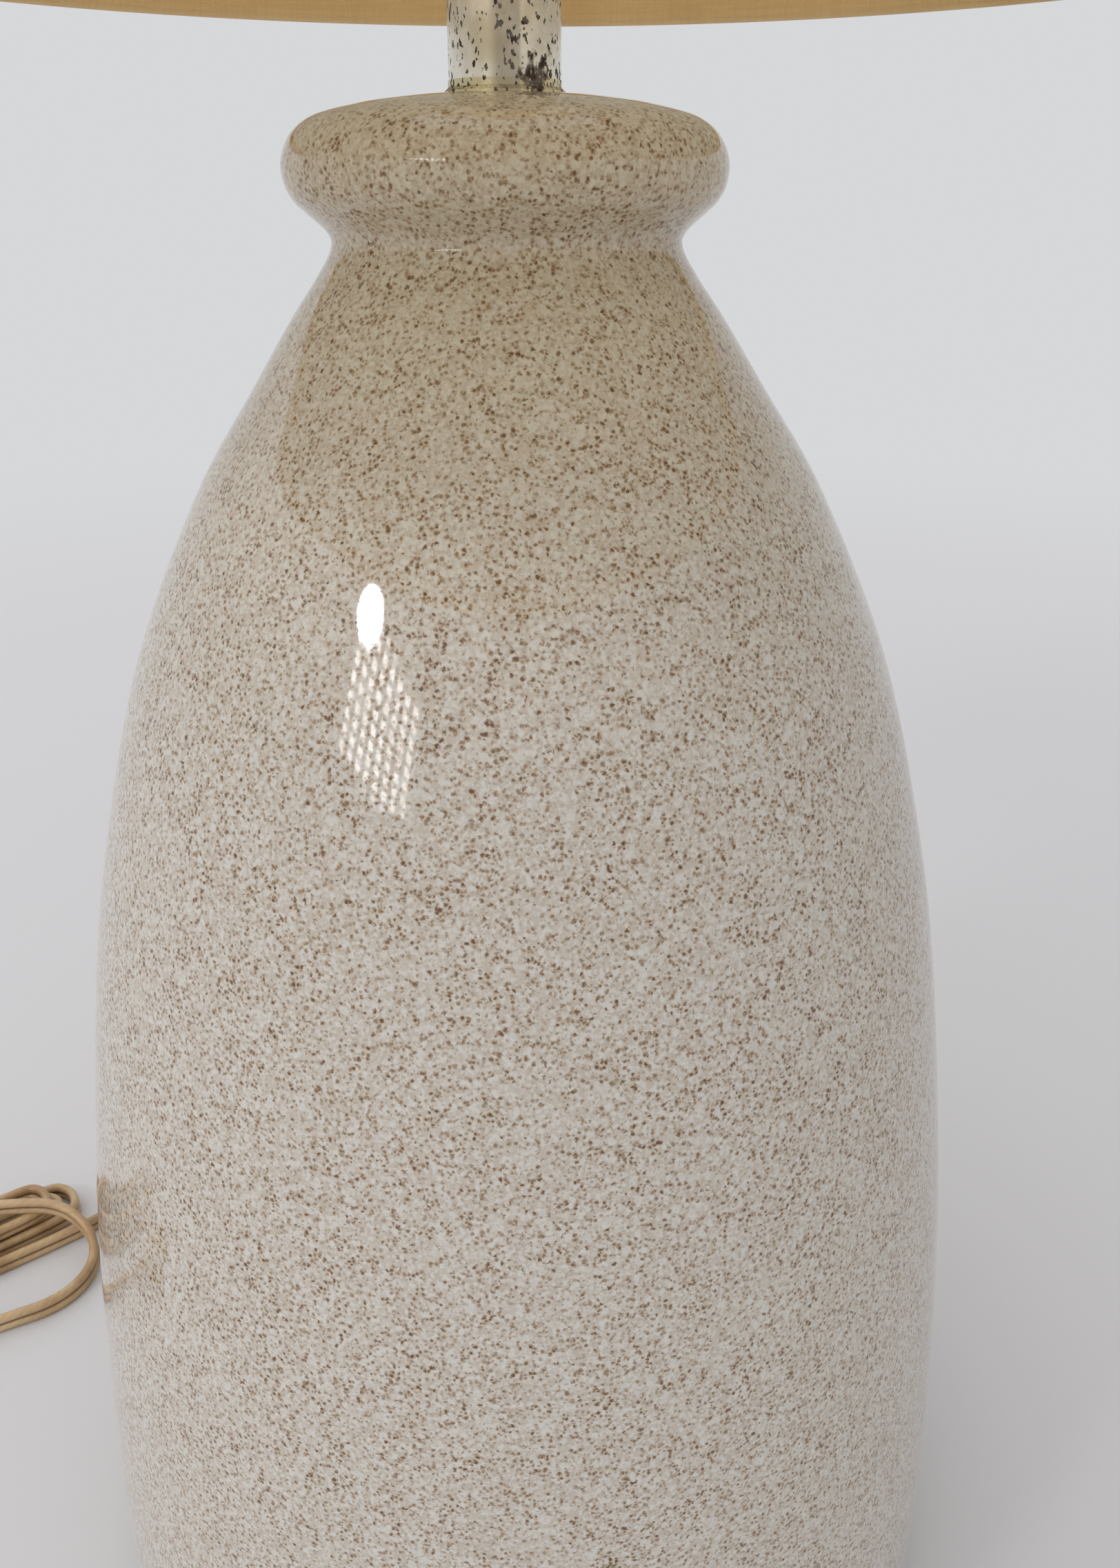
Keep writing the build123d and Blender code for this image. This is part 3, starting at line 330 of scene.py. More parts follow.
make_world()
window_place = body_middle + window_way * light_distance
curtain_place = body_middle + curtain_way * light_distance
area_light("window", window_place, -window_way, window_size, window_power, rgb(250, 250, 255), "ELLIPSE")
curtain = area_light(
    "curtain", curtain_place, -curtain_way, curtain_size, curtain_power, rgb(255, 253, 250), "RECTANGLE")
curtain.visible_diffuse = False
weave_light(curtain, columns=8, rows=12, slant=0.45, drape=0.38)
area_light("glow", glow_place, glow_way, glow_size, glow_power, rgb(255, 242, 220), "DISK")

# %% [markdown]
# ## The cord's route
#
# A lamp cord is a fixed length of something springy. It leaves the bush at the back, drops to the floor,
# bends round behind the lamp into a hank, and comes out of the hank in one loose loop that ends in the plug.
# A curve drawn by hand in the viewport would do, but its length would be luck. So the route is the list of
# corners that the model was built with, and a NURBS curve of order three runs smoothly inside them. The
# hank's turns follow a rule, so a loop works them out, a little tighter than the model's round tube, because
# a flat cord lies on edge.

# %% The route's corners
cord_width = 5.6 * MM
cord_thickness = 2.9 * MM
floor_clearance = 0.1 * MM
cord_exit = Vector((0, 105.5, 12)) * MM
lead_route = [
    (0.0, 121.0, 12.0), (-9.0, 142.0, 7.0), (-36.0, 155.0, 3.2), (-72.0, 151.0, 2.9), (-108.0, 128.0, 2.9),
    (-138.5, 93.0, 2.9), (-173.3, 64.9, 2.9),
]
tail_route = [
    (-209.1, 69.0, 13.6), (-189.5, 76.0, 15.2), (-172.5, 79.8, 14.8), (-158.5, 81.8, 13.0),
    (-148.3, 77.5, 7.8), (-143.2, 69.8, 3.6), (-143.6, 58.5, 2.9), (-150.3, 48.8, 2.9),
    (-162.5, 43.0, 2.9), (-182.0, 32.0, 3.1), (-205.0, 14.0, 6.7), (-225.0, -6.0, 6.7),
]
hank_centre = Vector((-228.0, 40.0, 0)) * MM
hank_angle = math.radians(39.5)
hank_run = 156 * MM
hank_inner_radius = 4.6 * MM
hank_step = 4.3 * MM
hank_layer_step = 6.1 * MM
hank_draw = 2.0 * MM
hank_lift = 1.2 * MM
hank_turns_down = 2.0
hank_turns_up = 1.5
hank_stations = 10
hank_fan = 8.0 * MM
hank_fan_shares = (0.0, 0.0, -0.3, -0.1, -0.2, -0.9, 0.5)


def hank_point(along, across, height):
    """A point of the hank's own frame in the lamp's frame."""
    turned = Matrix.Rotation(hank_angle, 3, "Z") @ Vector((along, across, 0))
    return hank_centre + turned + Vector((0, 0, height))


def hank_route():
    """Four corners round each end and one at the waist on each side, turn after turn, down and up again."""
    low = cord_width / 2 + floor_clearance
    half = hank_stations // 2
    reverse = round(hank_turns_down * hank_stations)
    last = reverse + round(hank_turns_up * hank_stations)
    corner_share = 1 / math.cos(math.pi / 8)
    route = []
    for station in range(last + 1):
        radius = hank_inner_radius + hank_step * abs(station - reverse) / hank_stations
        climb = min(max(station - reverse + 1, 0), 2) / 2
        height = low + hank_layer_step * climb
        side = -1 if station % hank_stations < half else 1
        step = station % half
        if step == 0:
            route.append(hank_point(0, side * (radius - hank_draw), height + hank_lift))
            continue
        angle = math.pi * (step - 0.5) / 4
        reach = hank_run / 2 + hank_fan * hank_fan_shares[station // half]
        along = side * (reach + radius * corner_share * math.sin(angle))
        across = side * radius * corner_share * math.cos(angle)
        route.append(hank_point(along, across, height))
    return route


cord_route = [cord_exit, *[Vector(p) * MM for p in lead_route], *hank_route()]
cord_route += [Vector(p) * MM for p in tail_route]
print("corners on the cord's route", len(cord_route))

# %% [markdown]
# ## A flat cord along the route
#
# Lamp cord has two insulated cores side by side, joined by a thin web. A curve with a round bevel would show
# a plain tube. Instead the curve is only read for its points, and a section like a figure eight is carried
# along them. Its wide side is kept upright, which is how such a cord lies when it is bent sideways, with a
# slow lean of a few degrees so that it doesn't look machined. Lengths along and around go into a UV map,
# because a cord's marks follow the cord and not the room.

# %% Carry a section along a route
least_gap = 0.3 * MM


def line_points(name, route, steps=8):
    """Points along a NURBS curve of order three that has the route's corners as its control points."""
    data = bpy.data.curves.new(name, "CURVE")
    data.dimensions = "3D"
    data.resolution_u = steps
    spline = data.splines.new("NURBS")
    spline.points.add(len(route) - 1)
    for point, corner in zip(spline.points, route):
        point.co = (*corner, 1)
    spline.order_u = 3
    spline.use_endpoint_u = True
    holder = bpy.data.objects.new(name, data)
    line = bpy.data.meshes.new_from_object(holder)
    points = [line.vertices[0].co.copy()]
    for vertex in line.vertices:
        if (vertex.co - points[-1]).length > least_gap:
            points.append(vertex.co.copy())
    bpy.data.objects.remove(holder)
    bpy.data.curves.remove(data)
    bpy.data.meshes.remove(line)
    return points


def length_of(points):
    """Length of a line through points."""
    return sum((b - a).length for a, b in zip(points, points[1:]))


def new_piece(name, mesh, material, body):
    """An object for a finished mesh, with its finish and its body."""
    piece = bpy.data.objects.new(name, mesh)
    scene.collection.objects.link(piece)
    mesh.materials.clear()
    mesh.materials.append(material)
    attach(piece, body)
    return piece


def mesh_from(name, points, faces, uvs=None, smooth=True):
    """A mesh from points and faces; uvs holds one pair for each corner of each face, in metres."""
    mesh = bpy.data.meshes.new(name)
    mesh.from_pydata(points, [], faces)
    if uvs:
        layer = mesh.uv_layers.new(name="UVMap")
        for loop, pair in zip(layer.data, uvs):
            loop.uv = pair
    for polygon in mesh.polygons:
        polygon.use_smooth = smooth
    mesh.validate()
    return mesh


def carried_section(name, points, section, lean=lambda along: 0.0, upright=Vector((0, 0, 1)), closed=False):
    """A mesh of a closed section carried along points. The section's first axis keeps near to upright."""
    count = len(section)
    stations = len(points)
    around = [0.0]
    for first, second in zip(section, section[1:] + section[:1]):
        around.append(around[-1] + math.dist(first, second))
    vertices = []
    along = [0.0]
    for index, point in enumerate(points):
        after = points[(index + 1) % stations] if closed else points[min(index + 1, stations - 1)]
        before = points[index - 1] if closed else points[max(index - 1, 0)]
        way = (after - before).normalized()
        if index:
            along.append(along[-1] + (point - points[index - 1]).length)
        wide = (upright - way * upright.dot(way)).normalized()
        wide = Matrix.Rotation(lean(along[-1]), 3, way) @ wide
        thin = way.cross(wide)
        vertices += [point + wide * across + thin * deep for across, deep in section]
    if closed:
        along.append(along[-1] + (points[0] - points[-1]).length)
    faces = []
    uvs = []
    for index in range(stations if closed else stations - 1):
        here = index * count
        there = (index + 1) % stations * count
        for side in range(count):
            other = (side + 1) % count
            faces.append((here + side, here + other, there + other, there + side))
            low, high = around[side], around[side + 1]
            start, end = along[index], along[index + 1]
            uvs += [(start, low), (start, high), (end, high), (end, low)]
    if not closed:
        for start, order in ((0, range(count - 1, -1, -1)), ((stations - 1) * count, range(count))):
            faces.append(tuple(start + side for side in order))
            uvs += [(0.0, 0.0)] * count
    return mesh_from(name, vertices, faces, uvs)


def cord_section(steps=9):
    """Outline of the flat cord: two round cores that meet in a valley on each face."""
    core = cord_thickness / 2
    middle = cord_width / 2 - core
    end = math.pi - math.acos(middle / core)
    right = []
    for step in range(steps):
        angle = -end + 2 * end * step / (steps - 1)
        right.append((middle + core * math.cos(angle), core * math.sin(angle)))
    return right[:-1] + [(-across, -deep) for across, deep in right[:-1]]


lean_most = math.radians(11)
lean_wave = 45 * MM


def cord_lean(along):
    """A slow, uneven lean of the cord, none where it leaves the bush."""
    settled = min(along / lean_wave, 1)
    return lean_most * settled * 2 * noise.noise(Vector((along / lean_wave, 0.4, 0.7)))


cord_points = line_points("cord_line", cord_route)
cord_mesh = carried_section("cord", cord_points, cord_section(), cord_lean)
print("cord", round(length_of(cord_points), 3), "m long,", len(cord_mesh.polygons), "faces")

# %% [markdown]
# The insulation is clear plastic tinted gold, so it shows the twisted copper inside as faint slanting lines,
# and it has browned with age. A picture texture could hold that, but two stripes made from the UV map do it
# at any length. The colour is also darker in the valley between the cores, which is where the UV's second
# number passes zero and half way round.

# %% Finish of the cord
golden_light = rgb(206, 178, 136)
golden_deep = rgb(164, 130, 90)
valley_brown = rgb(92, 64, 38)
strand_pitch = 3.2 * MM
strands_round = 6.0
strand_share = 0.16
valley_share = 0.8
valley_reach = (0.05, 0.34)
strand_relief = 0.1 * MM
cord_section_length = sum(
    math.dist(a, b) for a, b in zip(cord_section(), cord_section()[1:] + cord_section()[:1]))


def golden_plastic():
    """Tinted clear insulation over twisted copper."""
    material, tree, shader = new_material("golden_cord", Roughness=0.32, IOR=1.5)
    uv = add(tree, "ShaderNodeUVMap", uv_map="UVMap").outputs[0]
    parts = add(tree, "ShaderNodeSeparateXYZ", {0: uv}).outputs
    share = calc(tree, "DIVIDE", parts["Y"], cord_section_length)
    slant = plus(tree, calc(tree, "DIVIDE", parts["X"], strand_pitch), times(tree, share, strands_round))
    strands = waves(tree, slant)
    strands = scaled(tree, strands, -1.0, 1.0)
    round_way = calc(tree, "ABSOLUTE", waves(tree, share))
    valley = scaled(tree, round_way, *valley_reach, 1.0, 0.0)
    place = add(tree, "ShaderNodeTexCoord").outputs["Object"]
    cloud = clouds(tree, place, 60.0, 4.0)
    tint = mixed(tree, scaled(tree, cloud, *noise_range), golden_light, golden_deep)
    tint = mixed(tree, times(tree, strands, strand_share), tint, golden_deep)
    tint = mixed(tree, times(tree, valley, valley_share), tint, valley_brown)
    tree.links.new(tint, shader.inputs["Base Color"])
    fine = clouds(tree, place, 900.0, 2.0)
    tree.links.new(scaled(tree, fine, *noise_range, 0.26, 0.42), shader.inputs["Roughness"])
    height = plus(tree, times(tree, strands, 0.5), fine)
    roughen(tree, shader, height, 0.25, strand_relief)
    return material


golden = golden_plastic()
cord = new_piece("cord", cord_mesh, golden, "base")
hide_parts("cord_lead", "cord_hank", "cord_tail")
print("cord dressed")

# %% [markdown]
# ## The ceramic body, turned in Geometry Nodes
#
# The real body was cast in a plaster mould whose shape was turned on a lathe, so one outline spun about the
# axis gives all of it. A Screw modifier does that too, but a small Geometry Nodes tree shows what a lathe is:
# a grid of points with one row for each outline point and one column for each step of the turn, and every
# point of the grid goes to its outline point's radius, turned by its column's angle. The tree serves every
# turned piece. Its inputs are the number of steps and the finish, and its geometry is the outline.

# %% A lathe as a node tree
join_distance = 0.001 * MM


def tree_input(tree, label):
    """The identifier by which a modifier knows one of its tree's inputs."""
    return next(item.identifier for item in tree.interface.items_tree
                if item.item_type == "SOCKET" and item.in_out == "INPUT" and item.name == label)


def lathe_tree():
    """Turns a closed outline in the XZ plane about the Z axis."""
    sockets = {"Outline": ("NodeSocketGeometry", None), "Steps": ("NodeSocketInt", 192),
               "Finish": ("NodeSocketMaterial", None)}
    tree, given, result = new_group("lathe", "GeometryNodeTree", sockets, {"Piece": "NodeSocketGeometry"})
    size = add(tree, "GeometryNodeAttributeDomainSize", {0: given["Outline"]}, component="MESH")
    points = size.outputs["Point Count"]
    rows = plus(tree, points, 1.0)
    columns = plus(tree, given["Steps"], 1.0)
    grid = add(tree, "GeometryNodeMeshGrid", {"Vertices X": rows, "Vertices Y": columns})
    index = add(tree, "GeometryNodeInputIndex").outputs[0]
    row = calc(tree, "FLOOR", calc(tree, "DIVIDE", plus(tree, index, 0.5), columns))
    column = calc(tree, "SUBTRACT", index, times(tree, row, columns))
    place = add(tree, "GeometryNodeInputPosition").outputs[0]
    wrapped = calc(tree, "MODULO", row, points)
    taken = add(tree, "GeometryNodeSampleIndex", {"Geometry": given["Outline"], "Index": wrapped},
                data_type="FLOAT_VECTOR", domain="POINT")
    tree.links.new(place, taken.inputs["Value"])
    parts = add(tree, "ShaderNodeSeparateXYZ", {0: taken.outputs[0]}).outputs
    turn = calc(tree, "DIVIDE", times(tree, column, 2 * math.pi), given["Steps"])
    across = times(tree, parts["X"], calc(tree, "COSINE", turn))
    deep = times(tree, parts["X"], calc(tree, "SINE", turn))
    moved = add(tree, "ShaderNodeCombineXYZ", {"X": across, "Y": deep, "Z": parts["Z"]}).outputs[0]
    spun = add(tree, "GeometryNodeSetPosition", {"Geometry": grid.outputs["Mesh"], "Position": moved})
    joined = {"Geometry": spun.outputs[0], "Distance": join_distance}
    closed = add(tree, "GeometryNodeMergeByDistance", joined).outputs[0]
    whole = add(tree, "GeometryNodeRealizeInstances", {0: closed}).outputs[0]
    finish = add(tree, "GeometryNodeSetMaterial", {"Geometry": whole, "Material": given["Finish"]})
    tree.links.new(finish.outputs[0], result.inputs[0])
    return tree


def point_outwards(mesh):
    """Turns a mesh's faces so that all of them point outwards."""
    shape = bmesh.new()
    shape.from_mesh(mesh)
    bmesh.ops.recalc_face_normals(shape, faces=shape.faces)
    shape.to_mesh(mesh)
    shape.free()


def baked(name, source, tree, values):
    """Runs a tree on an object and returns the result as a plain mesh with its faces pointing outwards."""
    modifier = source.modifiers.new("shape", "NODES")
    modifier.node_group = tree
    for label, value in values.items():
        modifier[tree_input(tree, label)] = value
    scene.collection.objects.link(source)
    evaluated = source.evaluated_get(bpy.context.evaluated_depsgraph_get())
    mesh = bpy.data.meshes.new_from_object(evaluated)
    mesh.name = name
    bpy.data.objects.remove(source)
    point_outwards(mesh)
    for polygon in mesh.polygons:
        polygon.use_smooth = True
    return mesh


def outline_object(outline):
    """An object that holds a closed outline, as points joined by edges."""
    mesh = bpy.data.meshes.new("outline")
    corners = [(radius, 0, height) for radius, height in outline]
    edges = [(index, (index + 1) % len(corners)) for index in range(len(corners))]
    mesh.from_pydata(corners, edges, [])
    return bpy.data.objects.new("outline", mesh)


lathe = lathe_tree()
print("lathe tree with", len(lathe.nodes), "nodes")

# %% [markdown]
# The outline's outer curve comes from the frame, so that the glaze lies exactly where the model's body is.
# Typing sixty radii by hand would be slow and wrong. The model's mesh already has points on that curve: those
# of its points that face away from the axis, in a narrow wedge. Sorted by height they are the outline, and a
# spline through them makes it smooth. Only the shoulder is drawn a millimetre or two off the model's, through
# points that were fitted to the widths of the photograph's silhouette. The hidden inside is plainer, a wall's
# thickness further in.

# %% Measure the outline and turn it
wall = 5.5 * MM
foot_ring_width = 7 * MM
recess_top = 28 * MM
panel_top = 34 * MM
floor_hole_radius = 30 * MM
lip_ceiling = 9 * MM
mouth_radius = 5.4 * MM
wedge = 0.05
least_step = 2.2 * MM
outline_steps = 6
body_steps = 288
shoulder_radius_shares = (1.0, 0.979, 0.925, 0.8238, 0.7245, 0.5815, 0.3855, 0.223, 0.111, 0.0385)
shoulder_height_shares = (0.11, 0.213, 0.368, 0.542, 0.655, 0.768, 0.865, 0.923, 0.962, 0.985)
foot_curve_top = 18 * MM
groove_low = 300 * MM
groove_high = 320 * MM
least_outward = 0.02


def outer_outline(node):
    """Radius and height of a turned node's outer curve, from the lowest point to the highest."""
    found = []
    for vertex in nodes[node].data.vertices:
        x, y, z = vertex.co
        radius = math.hypot(x, y)
        if y > 0 or abs(x) > wedge * radius:
            continue
        outward = (vertex.normal.x * x + vertex.normal.y * y) / max(radius, MM)
        if outward > least_outward:
            found.append((z, radius))
    found.sort()
    outline = [found[0]]
    for z, radius in found:
        if math.dist((z, radius), outline[-1]) > least_step:
            outline.append((z, radius))
    return [(radius, z) for z, radius in outline]


def smooth_through(points, steps):
    """Points on a Catmull-Rom spline through the given ones."""
    padded = [points[0], *points, points[-1]]
    result = []
    for before, start, end, after in zip(padded, padded[1:], padded[2:], padded[3:]):
        for step in range(steps):
            t = step / steps
            weights = (2 * t ** 2 - t - t ** 3, 2 - 5 * t ** 2 + 3 * t ** 3, t + 4 * t ** 2 - 3 * t ** 3,
                       t ** 3 - t ** 2)
            near = zip(before, start, end, after)
            result.append(tuple(0.5 * sum(w * v for w, v in zip(weights, values)) for values in near))
    return [*result, points[-1]]


def fitted_shoulder(outer):
    """The outline with its shoulder, belly to groove, through points fitted to the photograph's silhouette."""
    groove_radius, groove_z = min(point for point in outer if groove_low < point[1] < groove_high)
    foot_z, widest = outer[0][1], max(radius for radius, z in outer)
    rise, swell = groove_z - foot_z, widest - groove_radius
    shoulder = [(groove_radius + out * swell, foot_z + up * rise)
                for out, up in zip(shoulder_radius_shares, shoulder_height_shares)]
    below = [point for point in outer if point[1] < foot_curve_top]
    above = [point for point in outer if point[1] >= groove_z]
    return [*below, *shoulder, *above]


def body_outline():
    """The whole section of the body: outer curve, mouth, inside wall, floor and recessed foot."""
    outer = [p for p in outer_outline("ceramic_body") if p[0] > mouth_radius]
    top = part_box("ceramic_body")[1].z
    outer = smooth_through([*fitted_shoulder(outer), (mouth_radius, top)], outline_steps)
    foot_z, foot_radius = outer[0][1], outer[0][0]
    groove_radius = min(radius for radius, z in outer if groove_low < z < groove_high)
    groove_z = next(z for radius, z in outer if radius == groove_radius)
    inside = [(radius - wall, z) for radius, z in outer if panel_top + wall < z < groove_z]
    ceiling = top - lip_ceiling
    recess_radius = foot_radius - foot_ring_width
    hidden = [
        (mouth_radius, ceiling), (groove_radius - wall, ceiling), *reversed(inside[::outline_steps]),
        (inside[0][0], panel_top), (floor_hole_radius, panel_top), (floor_hole_radius, recess_top),
        (recess_radius, recess_top), (recess_radius, foot_z),
    ]
    return [*outer, *hidden]


outline = body_outline()
print("outline points", len(outline), "widest", round(max(r for r, z in outline) / MM, 2), "mm")

# %% [markdown]
# ## Speckled glaze
#
# The glaze is a warm white under a clear gloss, full of small brown specks where iron has burned through.
# Seen close, they are soft dots of about half a millimetre, most of them faint and a few dark. They string
# together in short chains round paler pools. Scattered small meshes would be far too heavy, so cells of a
# Voronoi texture give the dots: one dot in each cell, with a size and a strength from the cell's own random
# numbers. A noise that is folded at its middle value gives thin winding lines, and the dots are strong on
# these and weaker between them. Two spacings of dots, bent by fine noise, stop it from looking like a grid.

# %% Group of dots
def dots_group():
    """Soft dots of uneven size and strength, one in each cell."""
    sockets = {"Vector": (VECTOR, None), "Spacing": (FLOAT, MM), "Size": (FLOAT, 0.5), "Fade": (FLOAT, 1.0)}
    tree, given, result = new_group("dots", "ShaderNodeTree", sockets, {"Dots": FLOAT})
    scale = calc(tree, "DIVIDE", 1.0, given["Spacing"])
    fine_scale = times(tree, scale, 1.7)
    fine_noise = {"Vector": given["Vector"], "Scale": fine_scale, "Detail": 2.0}
    bend = add(tree, "ShaderNodeTexNoise", fine_noise).outputs
    centred = add(tree, "ShaderNodeVectorMath", {0: bend["Color"], 1: (0.5, 0.5, 0.5)}, operation="SUBTRACT")
    reach = times(tree, given["Spacing"], 0.9)
    bent = add(tree, "ShaderNodeVectorMath", {0: centred.outputs[0], "Scale": reach}, operation="SCALE")
    place = add(tree, "ShaderNodeVectorMath", {0: given["Vector"], 1: bent.outputs[0]}, operation="ADD")
    cells = add(tree, "ShaderNodeTexVoronoi", {"Vector": place.outputs[0], "Scale": scale}).outputs
    chance = add(tree, "ShaderNodeSeparateColor", {0: cells["Color"]}).outputs
    strength = calc(tree, "POWER", chance["Green"], given["Fade"])
    size = plus(tree, 0.65, times(tree, chance["Red"], 0.7))
    size = times(tree, size, given["Size"])
    near = calc(tree, "SUBTRACT", 1.0, calc(tree, "DIVIDE", cells["Distance"], size))
    tree.links.new(times(tree, scaled(tree, near, 0.0, 1.0), strength), result.inputs["Dots"])
    return tree


dots = dots_group()
print("dots group with", len(dots.nodes), "nodes")

# %% [markdown]
# Towards the lip the colour slides from a grey white on the belly to a darker tan at the top. Part of that
# is a thinner, warmer-fired glaze, and part is painted light: the dimmer, warm light and reflection that the
# shade above throws on the lip and shoulder. One multiply by a warm colour does it, steered by height.

# %% Finish of the glaze
ground_pale = rgb(208, 206, 199)
ground_warm = rgb(189, 179, 165)
halo_tan = rgb(158, 138, 114)
speck_brown = rgb(104, 73, 47)
# Multiplied in near the lip: partly a warmer glaze, partly painted warm shade from the lampshade above.
lip_tint_glaze_and_shade = (0.94, 0.86, 0.70, 1.0)
lip_tint_from = 0.235
lip_tint_to = 0.335
chain_size = 1.9 * MM
crowd_size = 6 * MM
mottle_size = 0.8 * MM
other_dots = (0.031, 0.017, 0.043)
fine_dots = {"Spacing": 0.76 * MM, "Size": 0.74, "Fade": 1.1}
coarse_dots = {"Spacing": 1.3 * MM, "Size": 0.41, "Fade": 0.9}
chain_width = 0.11
off_chain, on_chain = 0.58, 0.72
halo_band = (0.0, 0.45)
speck_band = (0.32, 0.95)
pin_band = (0.006, 0.016)
peel_relief = 0.06 * MM


def speckled_glaze():
    """Glossy warm white, chains of soft brown dots, a tan lip: partly glaze, partly painted shade light."""
    material, tree, shader = new_material("speckled_glaze", IOR=1.5)
    place = add(tree, "ShaderNodeTexCoord").outputs["Object"]
    wave = calc(tree, "SUBTRACT", clouds(tree, place, 1 / chain_size, 2.0), 0.5)
    chain = scaled(tree, calc(tree, "ABSOLUTE", wave), 0.0, chain_width, 1.0, 0.0)
    crowd = clouds(tree, place, 1 / crowd_size, 2.0)
    crowd = scaled(tree, crowd, *noise_range, 0.75, 1.2)
    fine = use_group(tree, dots, {"Vector": place, **fine_dots})
    shifted = add(tree, "ShaderNodeVectorMath", {0: place, 1: other_dots}, operation="ADD")
    coarse = use_group(tree, dots, {"Vector": shifted.outputs[0], **coarse_dots})
    allowed = plus(tree, off_chain, times(tree, chain, on_chain))
    mask = calc(tree, "MAXIMUM", times(tree, fine["Dots"], allowed), coarse["Dots"])
    mask = times(tree, mask, crowd)
    mottle = clouds(tree, place, 1 / mottle_size, 2.0)
    warm = plus(tree, times(tree, chain, 0.4), times(tree, mottle, 1.5))
    colour = mixed(tree, scaled(tree, warm, 0.45, 1.3), ground_pale, ground_warm)
    colour = mixed(tree, scaled(tree, mask, *halo_band), colour, halo_tan)
    colour = mixed(tree, scaled(tree, mask, *speck_band), colour, speck_brown)
    height_up = add(tree, "ShaderNodeSeparateXYZ", {0: place}).outputs["Z"]
    # Painted shade light mixed with a warmer glaze: a darker tan multiplied in towards the lip.
    glaze_and_shade_tint = scaled(tree, height_up, lip_tint_from, lip_tint_to)
    colour = mixed(tree, glaze_and_shade_tint, colour, mixed(tree, 1.0, colour, lip_tint_glaze_and_shade, blend="MULTIPLY"))
    tree.links.new(colour, shader.inputs["Base Color"])
    haze = clouds(tree, place, 240.0, 3.0)
    tree.links.new(scaled(tree, haze, *noise_range, 0.025, 0.05), shader.inputs["Roughness"])
    peel = clouds(tree, place, 130.0, 1.0)
    holes = add(tree, "ShaderNodeTexVoronoi", {"Vector": place, "Scale": 42.0}).outputs["Distance"]
    pin = scaled(tree, holes, *pin_band)
    height = plus(tree, times(tree, peel, 0.5), pin)
    height = calc(tree, "SUBTRACT", height, times(tree, mask, 0.05))
    roughen(tree, shader, height, 0.35, peel_relief)
    return material


glaze = speckled_glaze()
body_mesh = baked("glazed_body", outline_object(outline), lathe, {"Steps": body_steps, "Finish": glaze})
print("glazed body", len(body_mesh.polygons), "faces")

# %% [markdown]
# The cord leaves through a hole low in the back wall. A Boolean modifier cuts it with a short cylinder, the
# way a hole is cut in the clay while it is still soft. The modifier is read out to a plain mesh like the
# lathe's, so that nothing live is left on the piece.

# %% Cut the cord's hole
hole_low, hole_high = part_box("cord_grommet")
hole_middle = (hole_low + hole_high) / 2
hole_radius = 4.8 * MM
hole_segments = 48
drill_overhang = 12 * MM


def cut_hole(mesh, middle, radius, depth):
    """A copy of a mesh with a round hole along Y."""
    drill = bpy.data.meshes.new("drill")
    shape = bmesh.new()
    turn = Matrix.Translation(middle) @ Matrix.Rotation(math.pi / 2, 4, "X")
    bmesh.ops.create_cone(
        shape, cap_ends=True, segments=hole_segments, radius1=radius, radius2=radius, depth=depth,
        matrix=turn)
    shape.to_mesh(drill)
    shape.free()
    cutter = bpy.data.objects.new("drill", drill)
    holder = bpy.data.objects.new("holder", mesh)
    scene.collection.objects.link(cutter)
    scene.collection.objects.link(holder)
    boolean = holder.modifiers.new("hole", "BOOLEAN")
    boolean.object = cutter
    boolean.solver = "EXACT"
    cut = bpy.data.meshes.new_from_object(holder.evaluated_get(bpy.context.evaluated_depsgraph_get()))
    bpy.data.objects.remove(holder)
    bpy.data.objects.remove(cutter)
    return cut


cut_body = cut_hole(body_mesh, hole_middle, hole_radius, hole_high.y - hole_low.y + drill_overhang)
body = new_piece("glazed_body", cut_body, glaze, "base")
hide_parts("ceramic_body")
print("body", len(cut_body.polygons), "faces after the cut")

# %% [markdown]
# ## Metal, old and new
#
# The neck tube is thin steel with a pale plating that has pitted: clean and mirror-like in places, with brown
# pinholes, short vertical streaks, and one grey-brown patch low at the right where the plating is gone. The
# other metals are cleaner, but no metal is one even colour. A shared group gives what they have in common:
# cloudy tone, smeared gloss and fine scratches. The tube's corrosion has a tree of its own.

# %% Group of handled metal
def handled_group():
    """Cloudy tone, uneven gloss and fine scratches for metal and plastic that has been handled."""
    sockets = {"Vector": (VECTOR, None), "Grain": (FLOAT, 2 * MM), "Tone": (COLOUR, None),
               "Dull": (COLOUR, None), "Smooth": (FLOAT, 0.2), "Rough": (FLOAT, 0.4)}
    outputs = {"Colour": COLOUR, "Roughness": FLOAT, "Height": FLOAT}
    tree, given, result = new_group("handled", "ShaderNodeTree", sockets, outputs)
    scale = calc(tree, "DIVIDE", 1.0, given["Grain"])
    cloud = clouds(tree, given["Vector"], scale, 4.0)
    stretch = stretched(tree, given["Vector"], (1.0, 1.0, 0.12))
    fine_scale = times(tree, scale, 7.0)
    lines = clouds(tree, stretch, fine_scale, 3.0)
    share = scaled(tree, cloud, 0.32, 0.72)
    tree.links.new(mixed(tree, share, given["Tone"], given["Dull"]), result.inputs["Colour"])
    smear = plus(tree, times(tree, cloud, 0.6), times(tree, lines, 0.4))
    span = calc(tree, "SUBTRACT", given["Rough"], given["Smooth"])
    spread = times(tree, scaled(tree, smear, *noise_range), span)
    tree.links.new(plus(tree, given["Smooth"], spread), result.inputs["Roughness"])
    tree.links.new(lines, result.inputs["Height"])
    return tree


handled = handled_group()
scratch_relief = 0.05 * MM


